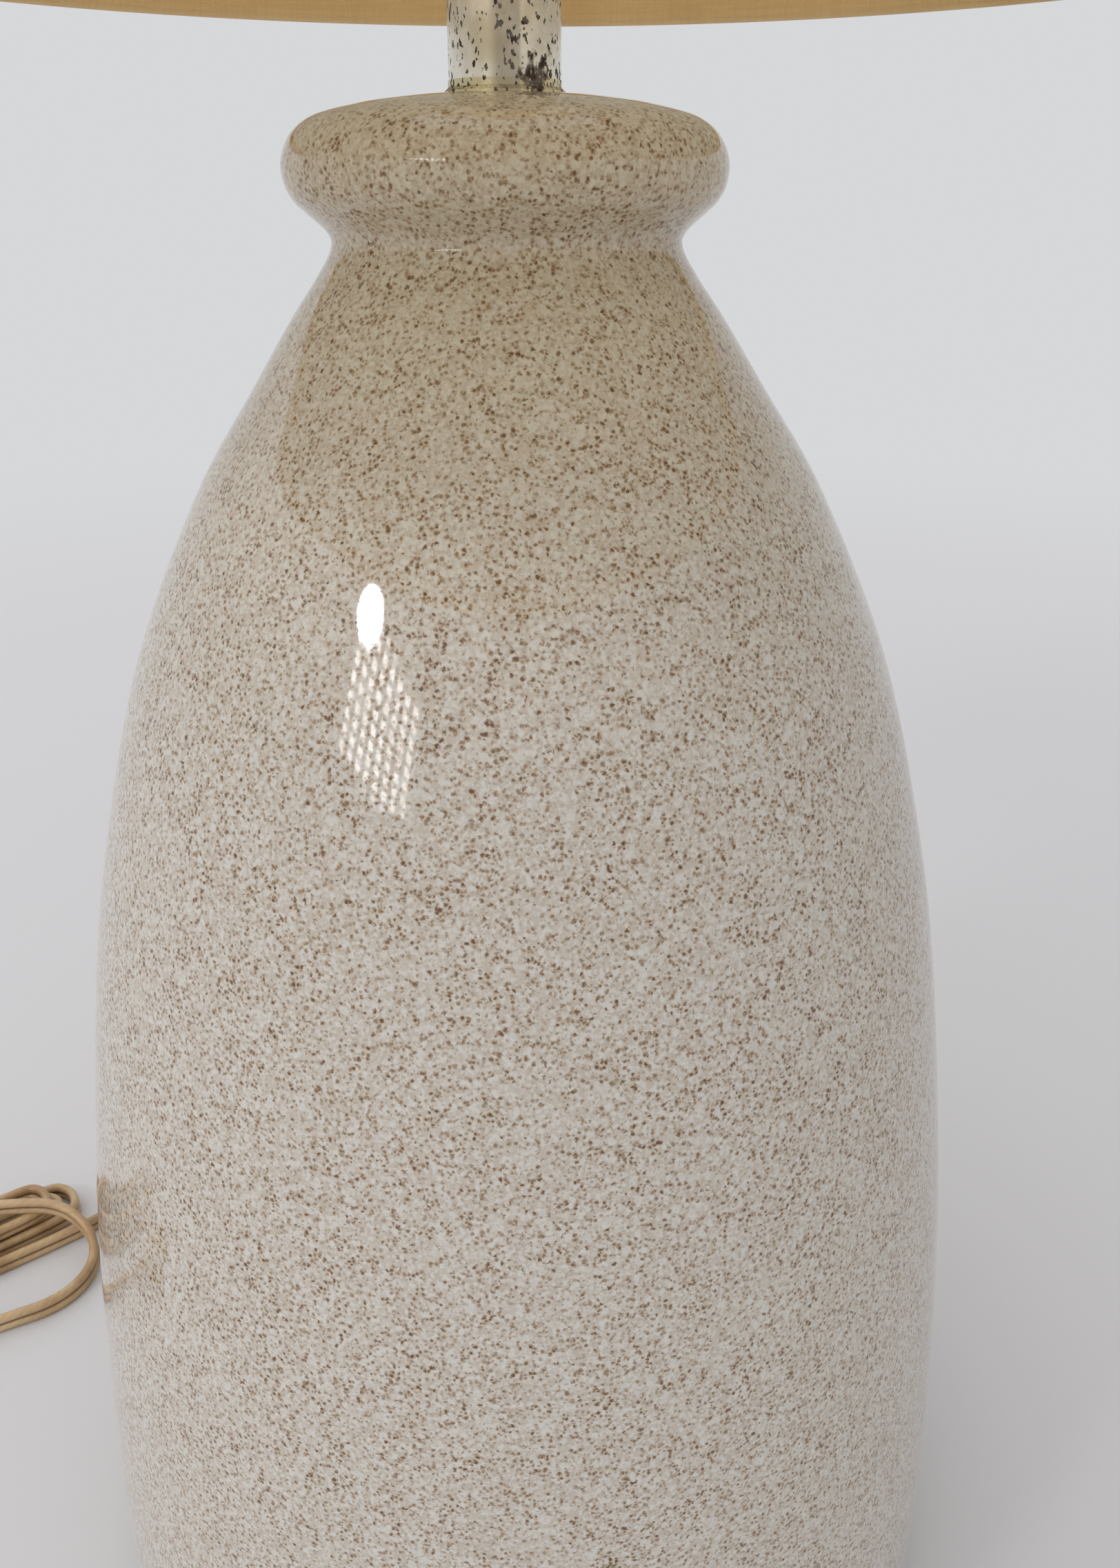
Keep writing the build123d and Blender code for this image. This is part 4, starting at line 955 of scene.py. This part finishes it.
def handled_material(name, tone, dull, smooth, rough, metal, grain=6 * MM, bump=0.15, **values):
    """A finish built on the handled group; metal is 0 or 1."""
    material, tree, shader = new_material(name, Metallic=metal, **values)
    place = add(tree, "ShaderNodeTexCoord").outputs["Object"]
    given = {"Vector": place, "Grain": grain, "Tone": tone, "Dull": dull, "Smooth": smooth, "Rough": rough}
    made = use_group(tree, handled, given)
    tree.links.new(made["Colour"], shader.inputs["Base Color"])
    tree.links.new(made["Roughness"], shader.inputs["Roughness"])
    roughen(tree, shader, made["Height"], bump, scratch_relief)
    return material


def dress(material, *names):
    """Gives CAD nodes a finish."""
    for name in names:
        for holder in nodes[name].material_slots:
            holder.material = material


steel = handled_material("steel", rgb(196, 197, 200), rgb(150, 150, 152), 0.22, 0.42, 1.0)
brass_wire = handled_material("brass_wire", rgb(214, 184, 122), rgb(176, 142, 86), 0.24, 0.45, 1.0)
socket_brass = handled_material("socket_brass", rgb(226, 194, 126), rgb(190, 152, 88), 0.12, 0.30, 1.0)
bulb_metal = handled_material("bulb_metal", rgb(206, 206, 208), rgb(168, 167, 166), 0.20, 0.36, 1.0)
filament = handled_material("filament_wire", rgb(120, 118, 116), rgb(78, 76, 74), 0.35, 0.5, 1.0)
blade = handled_material("blade_metal", rgb(214, 198, 150), rgb(172, 152, 108), 0.2, 0.38, 1.0)
copper = handled_material("copper_core", rgb(196, 128, 84), rgb(140, 88, 58), 0.3, 0.45, 1.0)
moulding = handled_material("dark_moulding", rgb(46, 38, 34), rgb(30, 25, 23), 0.22, 0.4, 0.0)
card = handled_material("liner_card", rgb(150, 112, 76), rgb(120, 88, 58), 0.7, 0.9, 0.0, bump=0.6)
shade_wire = handled_material("shade_wire", rgb(200, 182, 146), rgb(168, 148, 112), 0.3, 0.5, 1.0)
dress(steel, "bottom_plate", "bottom_lock_washer", "bottom_nut", "lamp_rod", "neck_lock_nut", "cap_set_screw",
      "hot_terminal_screw", "neutral_terminal_screw", "switch_shaft")
dress(brass_wire, "harp_saddle", "harp", "harp_stud", "harp_sleeve_left", "harp_sleeve_right", "finial")
dress(socket_brass, "socket_cap", "socket_shell", "screw_shell", "centre_contact")
dress(bulb_metal, "bulb_cap", "bulb_tip")
dress(filament, "bulb_supports", "bulb_filament")
dress(blade, "plug_blades")
dress(copper, "socket_leads")
dress(moulding, "socket_body", "switch_knob", "bulb_insulator")
dress(card, "socket_liner")
dress(shade_wire, "shade_top_frame", "shade_bottom_ring")
dress(golden, "inner_cord")
print("metals, mouldings and card dressed")

# %% Finish of the neck tube
plate_pale = rgb(236, 232, 220)
plate_warm = rgb(206, 197, 172)
rust_dark = rgb(58, 40, 28)
rust_grey = rgb(112, 104, 98)
lacquer_gold = rgb(208, 196, 154)
patch_place = Vector((5.0, -8.05, 338.1)) * MM
patch_radius = 2.3 * MM
# The stripe is a painted reflection: a grey band down the tube near its middle.
reflection_stripe_left = -2.5 * MM
reflection_stripe_right = 2.5 * MM
reflection_stripe_softness = 2 * MM
reflection_stripe_edge = 0.8 * MM
plate_grain = 7 * MM
plate_stretch = (1.0, 1.0, 0.6)
grain_scale, crowd_scale, ragged_scale = 1000.0, 160.0, 650.0
right_side = (-3 * MM, 6 * MM, 0.0, 0.03)
pit_band = (0.81, 0.84)
pit_depth = 0.12 * MM
fleck_dots = {"Spacing": 0.92 * MM, "Size": 0.46, "Fade": 0.7}
fleck_band = (0.44, 0.54)
grain_band = (0.34, 0.46)
patch_ragged = 5.5 * MM
patch_core = 2.2 * MM
patch_rim = 3.4 * MM


def tarnished_plate(name, tone, dull):
    """Pale plating with pits and streaks, one patch where it has gone, and a painted reflection stripe."""
    material, tree, shader = new_material(name)
    place = add(tree, "ShaderNodeTexCoord").outputs["Object"]
    given = {"Vector": place, "Grain": plate_grain, "Tone": tone, "Dull": dull, "Smooth": 0.18, "Rough": 0.36}
    made = use_group(tree, handled, given)
    tall = stretched(tree, place, plate_stretch)
    flecks = use_group(tree, dots, {"Vector": tall, **fleck_dots})["Dots"]
    cells = clouds(tree, tall, grain_scale, 2.0)
    crowd = clouds(tree, place, crowd_scale, 2.0)
    pits = plus(tree, cells, times(tree, crowd, 0.35))
    across = add(tree, "ShaderNodeSeparateXYZ", {0: place}).outputs["X"]
    side = scaled(tree, across, *right_side)
    # A painted reflection: a grey vertical stripe mixed into the plating near the tube's middle.
    reflection_stripe = scaled(tree, across, reflection_stripe_left, reflection_stripe_left + reflection_stripe_softness)
    reflection_stripe = times(tree, reflection_stripe, scaled(tree, across, reflection_stripe_right, reflection_stripe_right + reflection_stripe_edge, 0.45, 0.0))
    pits = scaled(tree, plus(tree, pits, side), *pit_band)
    offset = add(tree, "ShaderNodeVectorMath", {0: place, 1: tuple(patch_place)}, operation="DISTANCE")
    ragged = clouds(tree, place, ragged_scale, 4.0)
    edge = plus(tree, offset.outputs["Value"], times(tree, ragged, patch_ragged))
    patch = scaled(tree, edge, patch_radius + patch_core, patch_radius + patch_rim, 1.0, 0.0)
    patch = times(tree, patch, scaled(tree, cells, *grain_band))
    flecks = scaled(tree, plus(tree, flecks, times(tree, crowd, 0.45)), *fleck_band)
    gone = calc(tree, "MAXIMUM", calc(tree, "MAXIMUM", pits, flecks), patch)
    rust = mixed(tree, scaled(tree, ragged, 0.4, 0.6), rust_dark, rust_grey)
    colour = mixed(tree, reflection_stripe, made["Colour"], rust_grey)
    tree.links.new(mixed(tree, gone, colour, rust), shader.inputs["Base Color"])
    rough = plus(tree, made["Roughness"], times(tree, gone, 0.45))
    tree.links.new(rough, shader.inputs["Roughness"])
    tree.links.new(calc(tree, "SUBTRACT", 1.0, times(tree, gone, 0.9)), shader.inputs["Metallic"])
    height = calc(tree, "SUBTRACT", times(tree, made["Height"], 0.2), gone)
    roughen(tree, shader, height, 0.7, pit_depth)
    return material


plate = tarnished_plate("tarnished_plate", plate_pale, plate_warm)
plate_base = tarnished_plate("lacquered_base", lacquer_gold, plate_warm)
dress(plate, "neck_tube", "neck_cap")
dress(plate_base, "neck_seat_ring")
print("neck dressed")

# %% [markdown]
# ## Bulb
#
# A household bulb is clear glass with a white powder baked on its inside, so nothing shows through and the
# outside is glossy. Real glass with a rough inner wall is slow and noisy. A white base under a glossy coat
# looks the same. The stem inside is clear glass, hidden behind the white.

# %% Finishes of the bulb
bulb_white = handled_material(
    "bulb_white", rgb(244, 243, 238), rgb(238, 236, 229), 0.10, 0.16, 0.0, grain=30 * MM, bump=0.02)
clear_glass = handled_material(
    "clear_glass", rgb(238, 242, 240), rgb(232, 238, 236), 0.02, 0.05, 0.0, Transmission_Weight=1.0, IOR=1.5)
dress(bulb_white, "bulb_glass")
dress(clear_glass, "bulb_stem")
print("bulb dressed")

# %% [markdown]
# ## The shade's cloth
#
# The shade is plain linen laminated to a stiff sheet, rolled into a cone and glued along one overlap at the
# back, with a pale film inside. As a simulated cloth it would gain nothing, because the backing holds it
# stiff. So each sheet is a strip bent round the cone that the model's cover has, with its ends overlapping,
# and its UV map holds real lengths: metres round and metres up. The weave then keeps its true size. A shared
# group draws it, threads over and under by turns, with thick and thin places, and it serves the trims too.

# %% Group of plain weave
slub_long, slub_short = 60.0, 1400.0
thread_relief = 0.25 * MM


def weave_group():
    """Height and tone of a plain weave on a UV map in metres."""
    sockets = {"UV": (VECTOR, None), "Pitch": (FLOAT, 0.6 * MM), "Slub": (FLOAT, 0.5)}
    tree, given, result = new_group("weave", "ShaderNodeTree", sockets, {"Height": FLOAT, "Tone": FLOAT})
    parts = add(tree, "ShaderNodeSeparateXYZ", {0: given["UV"]}).outputs
    turns = calc(tree, "DIVIDE", math.pi, given["Pitch"])
    across = calc(tree, "SINE", times(tree, parts["X"], turns))
    upward = calc(tree, "SINE", times(tree, parts["Y"], turns))
    over = scaled(tree, times(tree, across, upward), -0.12, 0.12)
    warp = calc(tree, "ABSOLUTE", across)
    weft = calc(tree, "ABSOLUTE", upward)
    swap = calc(tree, "SUBTRACT", 1.0, over)
    height = plus(tree, times(tree, warp, over), times(tree, weft, swap))
    long_way = stretched(tree, given["UV"], (slub_long, slub_short, 1.0))
    tall_way = stretched(tree, given["UV"], (slub_short, slub_long, 1.0))
    weft_slub = clouds(tree, long_way, 1.0, 2.0)
    warp_slub = clouds(tree, tall_way, 1.0, 2.0)
    slub = plus(tree, times(tree, warp_slub, over), times(tree, weft_slub, swap))
    slub = scaled(tree, slub, *noise_range)
    spread = times(tree, slub, given["Slub"])
    tree.links.new(times(tree, height, plus(tree, 0.6, spread)), result.inputs["Height"])
    tree.links.new(plus(tree, times(tree, height, 0.5), spread), result.inputs["Tone"])
    return tree


weave = weave_group()


def woven_material(name, light, deep, pitch, bump=0.6, slub=0.5, age=None, **values):
    """Cloth of one colour with lighter and darker threads; age is a colour that soils it in clouds."""
    material, tree, shader = new_material(name, Roughness=0.85, **values)
    uv = add(tree, "ShaderNodeUVMap", uv_map="UVMap").outputs[0]
    made = use_group(tree, weave, {"UV": uv, "Pitch": pitch, "Slub": slub})
    colour = mixed(tree, scaled(tree, made["Tone"], 0.1, 0.9), deep, light)
    place = add(tree, "ShaderNodeTexCoord").outputs["Object"]
    cloud = clouds(tree, place, 28.0, 4.0)
    colour = mixed(tree, scaled(tree, cloud, 0.45, 0.8, 0.0, 0.5), colour, age or deep)
    tree.links.new(colour, shader.inputs["Base Color"])
    tree.links.new(scaled(tree, cloud, *noise_range, 0.78, 0.92), shader.inputs["Roughness"])
    roughen(tree, shader, made["Height"], bump, thread_relief)
    return material


linen = woven_material(
    "shade_cloth", rgb(222, 212, 192), rgb(196, 182, 156), 0.55 * MM, age=rgb(206, 192, 164),
    Sheen_Weight=0.25, Sheen_Roughness=0.5)
tan_tape = woven_material(
    "tan_trim", rgb(232, 197, 139), rgb(208, 171, 113), 0.38 * MM, bump=0.35, slub=0.3,
    age=rgb(190, 154, 100), Sheen_Weight=0.3, Sheen_Roughness=0.4)
pale_film = handled_material(
    "shade_inside", rgb(226, 224, 212), rgb(214, 210, 194), 0.45, 0.6, 0.0, grain=40 * MM, bump=0.1)
print("weave group with", len(weave.nodes), "nodes")

# %% Roll the two sheets into cones
cover_thickness = 0.9 * MM
lining_thickness = 0.7 * MM
seam_overlap = 12 * MM
seam_way = math.radians(90)
sheet_steps = 360
sheet_rows = 40
sheet_sag = 0.5 * MM
sheet_sharp_angle = math.radians(50)
lap_rise = 3
lap_start = 0.6


def top_radius(node):
    """Outer radius of a conical node at its upper edge."""
    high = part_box(node)[1].z
    return max(math.hypot(v.co.x, v.co.y) for v in nodes[node].data.vertices if v.co.z > high - MM)


def cone_sheet(name, node, thickness, overlap, sag):
    """A strip rolled into the node's cone, its ends overlapping at the back, the outer end a little proud."""
    low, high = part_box(node)
    bottom, top = high.x, top_radius(node)
    slant = math.hypot(bottom - top, high.z - low.z)
    turn = 2 * math.pi + overlap / bottom
    rows = []
    uvs = {}
    for layer in (0, 1):
        for row in range(sheet_rows + 1):
            share = row / sheet_rows
            for step in range(sheet_steps + 1):
                angle = turn * step / sheet_steps
                lapped = (angle - 2 * math.pi) * bottom / overlap
                proud = thickness * min(1, max(0, lapped * lap_rise + lap_start))
                ease = proud if angle > 2 * math.pi - overlap / bottom / 2 else 0
                wave = sag * noise.noise(Vector((math.cos(angle) * 3, math.sin(angle) * 3, share * 2)))
                radius = bottom + (top - bottom) * share + ease + wave * math.sin(math.pi * share)
                radius -= thickness * layer
                across, deep = math.cos(angle + seam_way), math.sin(angle + seam_way)
                uvs[len(rows)] = (angle * bottom, share * slant)
                rows.append(Vector((radius * across, radius * deep, low.z + (high.z - low.z) * share)))
    width = sheet_steps + 1
    inner = width * (sheet_rows + 1)
    faces = []
    for row in range(sheet_rows):
        for step in range(sheet_steps):
            a = row * width + step
            faces.append((a, a + 1, a + 1 + width, a + width))
            faces.append((inner + a, inner + a + width, inner + a + 1 + width, inner + a + 1))
    for step in range(sheet_steps):
        b = sheet_rows * width + step
        faces.append((step + 1, step, inner + step, inner + step + 1))
        faces.append((b, b + 1, inner + b + 1, inner + b))
    for row in range(sheet_rows):
        a, c = row * width, row * width + sheet_steps
        faces.append((a, a + width, inner + a + width, inner + a))
        faces.append((c + width, c, inner + c, inner + c + width))
    pairs = [uvs[corner] for face in faces for corner in face]
    mesh = mesh_from(name, rows, faces, pairs)
    mesh.set_sharp_from_angle(angle=sheet_sharp_angle)
    return mesh


cover_mesh = cone_sheet("shade_cover_cloth", "shade_cover", cover_thickness, seam_overlap, sheet_sag)
lining_mesh = cone_sheet("shade_lining_film", "shade_lining", lining_thickness, seam_overlap / 2, 0.0)
cover = new_piece("shade_cover_cloth", cover_mesh, linen, "shade")
lining = new_piece("shade_lining_film", lining_mesh, pale_film, "shade")
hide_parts("shade_cover")
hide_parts("shade_lining")


# %% [markdown]
# ## Folded trims
#
# A tape about 26 mm wide is folded over each edge of the shade and glued, half outside and half inside. Cut
# straight and laid on a curve, it puckers in short slanting wrinkles, and its edge wanders a little. Each
# trim is a thin folded section carried round the shade. Along the way its skin is pushed in and out by noise
# that is stretched along slanting lines, strong in some stretches and nearly gone in others.

# %% Fold the trims
trim_height = 9.5 * MM
trim_thickness = 0.7 * MM
trim_steps = 900
pucker_depth = 0.8 * MM
pucker_pitch = 7 * MM
edge_wander = 0.5 * MM
pucker_slant = 4 * MM
pucker_height = 9 * MM
fine_height = 5 * MM
wander_length = 16 * MM
trim_gap = 0.12 * MM
trim_fold = 1.9 * MM
ring_wire = 2.9 * MM
fold_depths = (0.6 * MM, 1.25 * MM, 1.5 * MM, 0.7 * MM, -0.9 * MM)
skin_share = 0.75
least_pucker, mean_pucker, pucker_swing = 0.12, 0.5, 1.3
fine_pitch, fine_share = 2.7, 0.4
outer_leg_shares = (1.0, 0.82, 0.6, 0.38, 0.16)
inner_leg_shares = (0.38, 0.7, 1.0)
trim_sharp_angle = math.radians(75)


def trim_profile(node, side):
    """Radius and height of a folded tape's points, round its outer skin and again round its inner skin."""
    low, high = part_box(node)
    edge_z = low.z if side > 0 else high.z
    cover_low, cover_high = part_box("shade_cover")
    share = 0 if side > 0 else 1
    outer = cover_high.x + (top_radius("shade_cover") - cover_high.x) * share
    slope = (cover_high.x - top_radius("shade_cover")) / (cover_high.z - cover_low.z)
    skin = trim_thickness
    leg = trim_height
    lined = outer - (cover_thickness + lining_thickness)
    edge = edge_z + side * trim_fold
    outside, inside = outer + trim_gap + skin, lined - trim_gap - skin
    under = (outer + trim_gap + skin * 0.7, outer - trim_gap, lined - ring_wire * 0.5, lined - ring_wire,
             lined - ring_wire - skin)
    out = [(outside - side * slope * leg * up, edge + side * leg * up) for up in outer_leg_shares]
    out += [(radius, edge - side * depth) for radius, depth in zip(under, fold_depths)]
    out += [(inside - side * slope * leg * up, edge + side * leg * up) for up in inner_leg_shares]
    inner = []
    for index, (radius, height) in enumerate(out):
        before = Vector(out[max(index - 1, 0)])
        after = Vector(out[min(index + 1, len(out) - 1)])
        way = (after - before).normalized()
        inward = Vector((way.y, -way.x)) * side
        inner.append((radius - inward.x * skin * skin_share, height - inward.y * skin * skin_share))
    return out, inner


def trim_mesh(name, node, side, seed):
    """A folded tape carried round the shade, puckered."""
    out, inner = trim_profile(node, side)
    section = [*out, *reversed(inner)]
    count = len(section)
    legs = [0.0]
    for first, second in zip(section, section[1:] + section[:1]):
        legs.append(legs[-1] + math.dist(first, second))
    vertices = []
    for step in range(trim_steps):
        angle = 2 * math.pi * step / trim_steps
        for index, (radius, height) in enumerate(section):
            along = angle * radius
            up = height - section[0][1]
            slanted = along / pucker_pitch + side * up / pucker_slant
            where = Vector((math.cos(angle) * 4, math.sin(angle) * 4, seed))
            strength = max(least_pucker, mean_pucker + pucker_swing * noise.noise(where))
            pucker = noise.noise(Vector((slanted, up / pucker_height, seed + 5)))
            fine = noise.noise(Vector((slanted * fine_pitch, up / fine_height, seed + 9))) * fine_share
            push = pucker_depth * strength * (pucker + fine)
            end = index in (0, len(out) - 1, len(out), count - 1)
            wander = 0
            if end:
                edge_place = Vector((along / wander_length, seed, index > len(out) / 2))
                wander = edge_wander * noise.noise(edge_place)
            reach = radius + push * (1 if index < 6 or index > count - 7 else 0.4)
            vertices.append((reach * math.cos(angle), reach * math.sin(angle), height + wander))
    faces = []
    uvs = []
    round_length = 2 * math.pi * section[0][0]
    for step in range(trim_steps):
        here, there = step * count, (step + 1) % trim_steps * count
        start, end = round_length * step / trim_steps, round_length * (step + 1) / trim_steps
        for side_index in range(count):
            other = (side_index + 1) % count
            low, high = legs[side_index], legs[side_index + 1]
            faces.append((here + side_index, there + side_index, there + other, here + other))
            uvs += [(start, low), (end, low), (end, high), (start, high)]
    mesh = mesh_from(name, vertices, faces, uvs)
    point_outwards(mesh)
    mesh.set_sharp_from_angle(angle=trim_sharp_angle)
    return mesh


for name, node, side, seed in (("bottom_trim_tape", "shade_bottom_trim", 1, 3.1),
                               ("top_trim_tape", "shade_top_trim", -1, 8.4)):
    tape = new_piece(name, trim_mesh(name, node, side, seed), tan_tape, "shade")
    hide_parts(node)

# %% [markdown]
# ## Felt, bush, tie and plug
#
# Under the foot sits a glued disc of green felt with a soft, slightly ragged edge. The lathe tree turns it
# too. Its fibres are far too fine to model, so short stretched noise roughens it, and sheen gives the edge
# its bloom. The bush in the wall, the plug and the tie are smooth mouldings that keep the model's meshes.

# %% Turn the felt and finish the mouldings
felt_low, felt_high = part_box("felt_pad")
felt_round = 0.6 * MM
felt_steps = 240
fibre_relief = 0.2 * MM


def felt_finish():
    """Dense green felt with short fibres."""
    material, tree, shader = new_material("green_felt", Roughness=0.95, Sheen_Weight=0.5, Sheen_Roughness=0.6)
    place = add(tree, "ShaderNodeTexCoord").outputs["Object"]
    fibre = clouds(tree, place, 1500.0, 4.0)
    lint = clouds(tree, place, 140.0, 3.0)
    colour = mixed(tree, scaled(tree, fibre, *noise_range), rgb(44, 66, 50), rgb(84, 108, 86))
    colour = mixed(tree, scaled(tree, lint, 0.55, 0.75, 0.0, 0.35), colour, rgb(128, 132, 118))
    tree.links.new(colour, shader.inputs["Base Color"])
    roughen(tree, shader, fibre, 0.8, fibre_relief)
    return material


felt_green = felt_finish()
felt_outline = [
    (0, felt_low.z), (felt_high.x - felt_round, felt_low.z), (felt_high.x, felt_low.z + felt_round),
    (felt_high.x, felt_high.z - felt_round), (felt_high.x - felt_round, felt_high.z), (0, felt_high.z),
]
felt_values = {"Steps": felt_steps, "Finish": felt_green}
felt_mesh = baked("felt_disc", outline_object(felt_outline), lathe, felt_values)
felt = new_piece("felt_disc", felt_mesh, felt_green, "base")
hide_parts("felt_pad")
golden_moulding = handled_material(
    "golden_moulding", rgb(190, 154, 104), rgb(150, 114, 72), 0.3, 0.45, 0.0, grain=12 * MM)
tie_band = handled_material("tie_band", rgb(40, 40, 42), rgb(28, 28, 30), 0.4, 0.6, 0.0)
dress(golden_moulding, "cord_grommet", "plug_body")
dress(tie_band, "hank_tie")

# %% [markdown]
# The plug's neck has moulded ribs that let it bend without kinking. What repeats is a job for Geometry
# Nodes: a line of points, a ring set on each, and every ring a little larger than the one before. The rings
# are small round sections carried round a circle, and they become real faces before the tree ends.

# %% Ribs on the plug's neck
rib_count = 6
rib_first_radius = 3.15 * MM
rib_growth = 0.1 * MM
rib_thickness = 0.45 * MM
rib_start = 3.0 * MM
rib_pitch = 3.0 * MM
ring_steps = 40
ring_section_steps = 8


def rings_tree():
    """Rings of growing size along a line; the rings face along the line."""
    sockets = {"Geometry": ("NodeSocketGeometry", None), "Count": ("NodeSocketInt", 6),
               "Start": (VECTOR, None), "Step": (VECTOR, None), "Turn": ("NodeSocketRotation", None),
               "Radius": (FLOAT, MM), "Growth": (FLOAT, 0.0), "Thickness": (FLOAT, MM),
               "Finish": ("NodeSocketMaterial", None)}
    tree, given, result = new_group("rings", "GeometryNodeTree", sockets, {"Rings": "NodeSocketGeometry"})
    line = add(tree, "GeometryNodeMeshLine",
               {"Count": given["Count"], "Start Location": given["Start"], "Offset": given["Step"]})
    circle = add(tree, "GeometryNodeCurvePrimitiveCircle", {"Resolution": ring_steps, "Radius": 1.0})
    relative = calc(tree, "DIVIDE", given["Thickness"], given["Radius"])
    round_section = {"Resolution": ring_section_steps, "Radius": relative}
    section = add(tree, "GeometryNodeCurvePrimitiveCircle", round_section)
    swept = {"Curve": circle.outputs[0], "Profile Curve": section.outputs[0]}
    ring = add(tree, "GeometryNodeCurveToMesh", swept)
    index = add(tree, "GeometryNodeInputIndex").outputs[0]
    size = plus(tree, given["Radius"], times(tree, index, given["Growth"]))
    one_each = {"Points": line.outputs[0], "Instance": ring.outputs[0], "Rotation": given["Turn"],
                "Scale": size}
    placed = add(tree, "GeometryNodeInstanceOnPoints", one_each)
    whole = add(tree, "GeometryNodeRealizeInstances", {0: placed.outputs[0]}).outputs[0]
    finish = add(tree, "GeometryNodeSetMaterial", {"Geometry": whole, "Material": given["Finish"]})
    tree.links.new(finish.outputs[0], result.inputs[0])
    return tree


rings = rings_tree()
plug_place = Vector(tail_route[-1]) * MM
plug_way = (plug_place - Vector(tail_route[-2]) * MM).normalized()
plug_turn = plug_way.to_track_quat("Z", "Y").to_euler()
empty_mesh = bpy.data.objects.new("ribs", bpy.data.meshes.new("ribs"))
rib_mesh = baked("plug_ribs", empty_mesh, rings, {
    "Count": rib_count, "Start": plug_place + plug_way * rib_start, "Step": plug_way * rib_pitch,
    "Turn": plug_turn, "Radius": rib_first_radius, "Growth": rib_growth, "Thickness": rib_thickness,
    "Finish": golden_moulding})
ribs = new_piece("plug_ribs", rib_mesh, golden_moulding, "base")
print("plug ribs", len(rib_mesh.polygons), "faces")
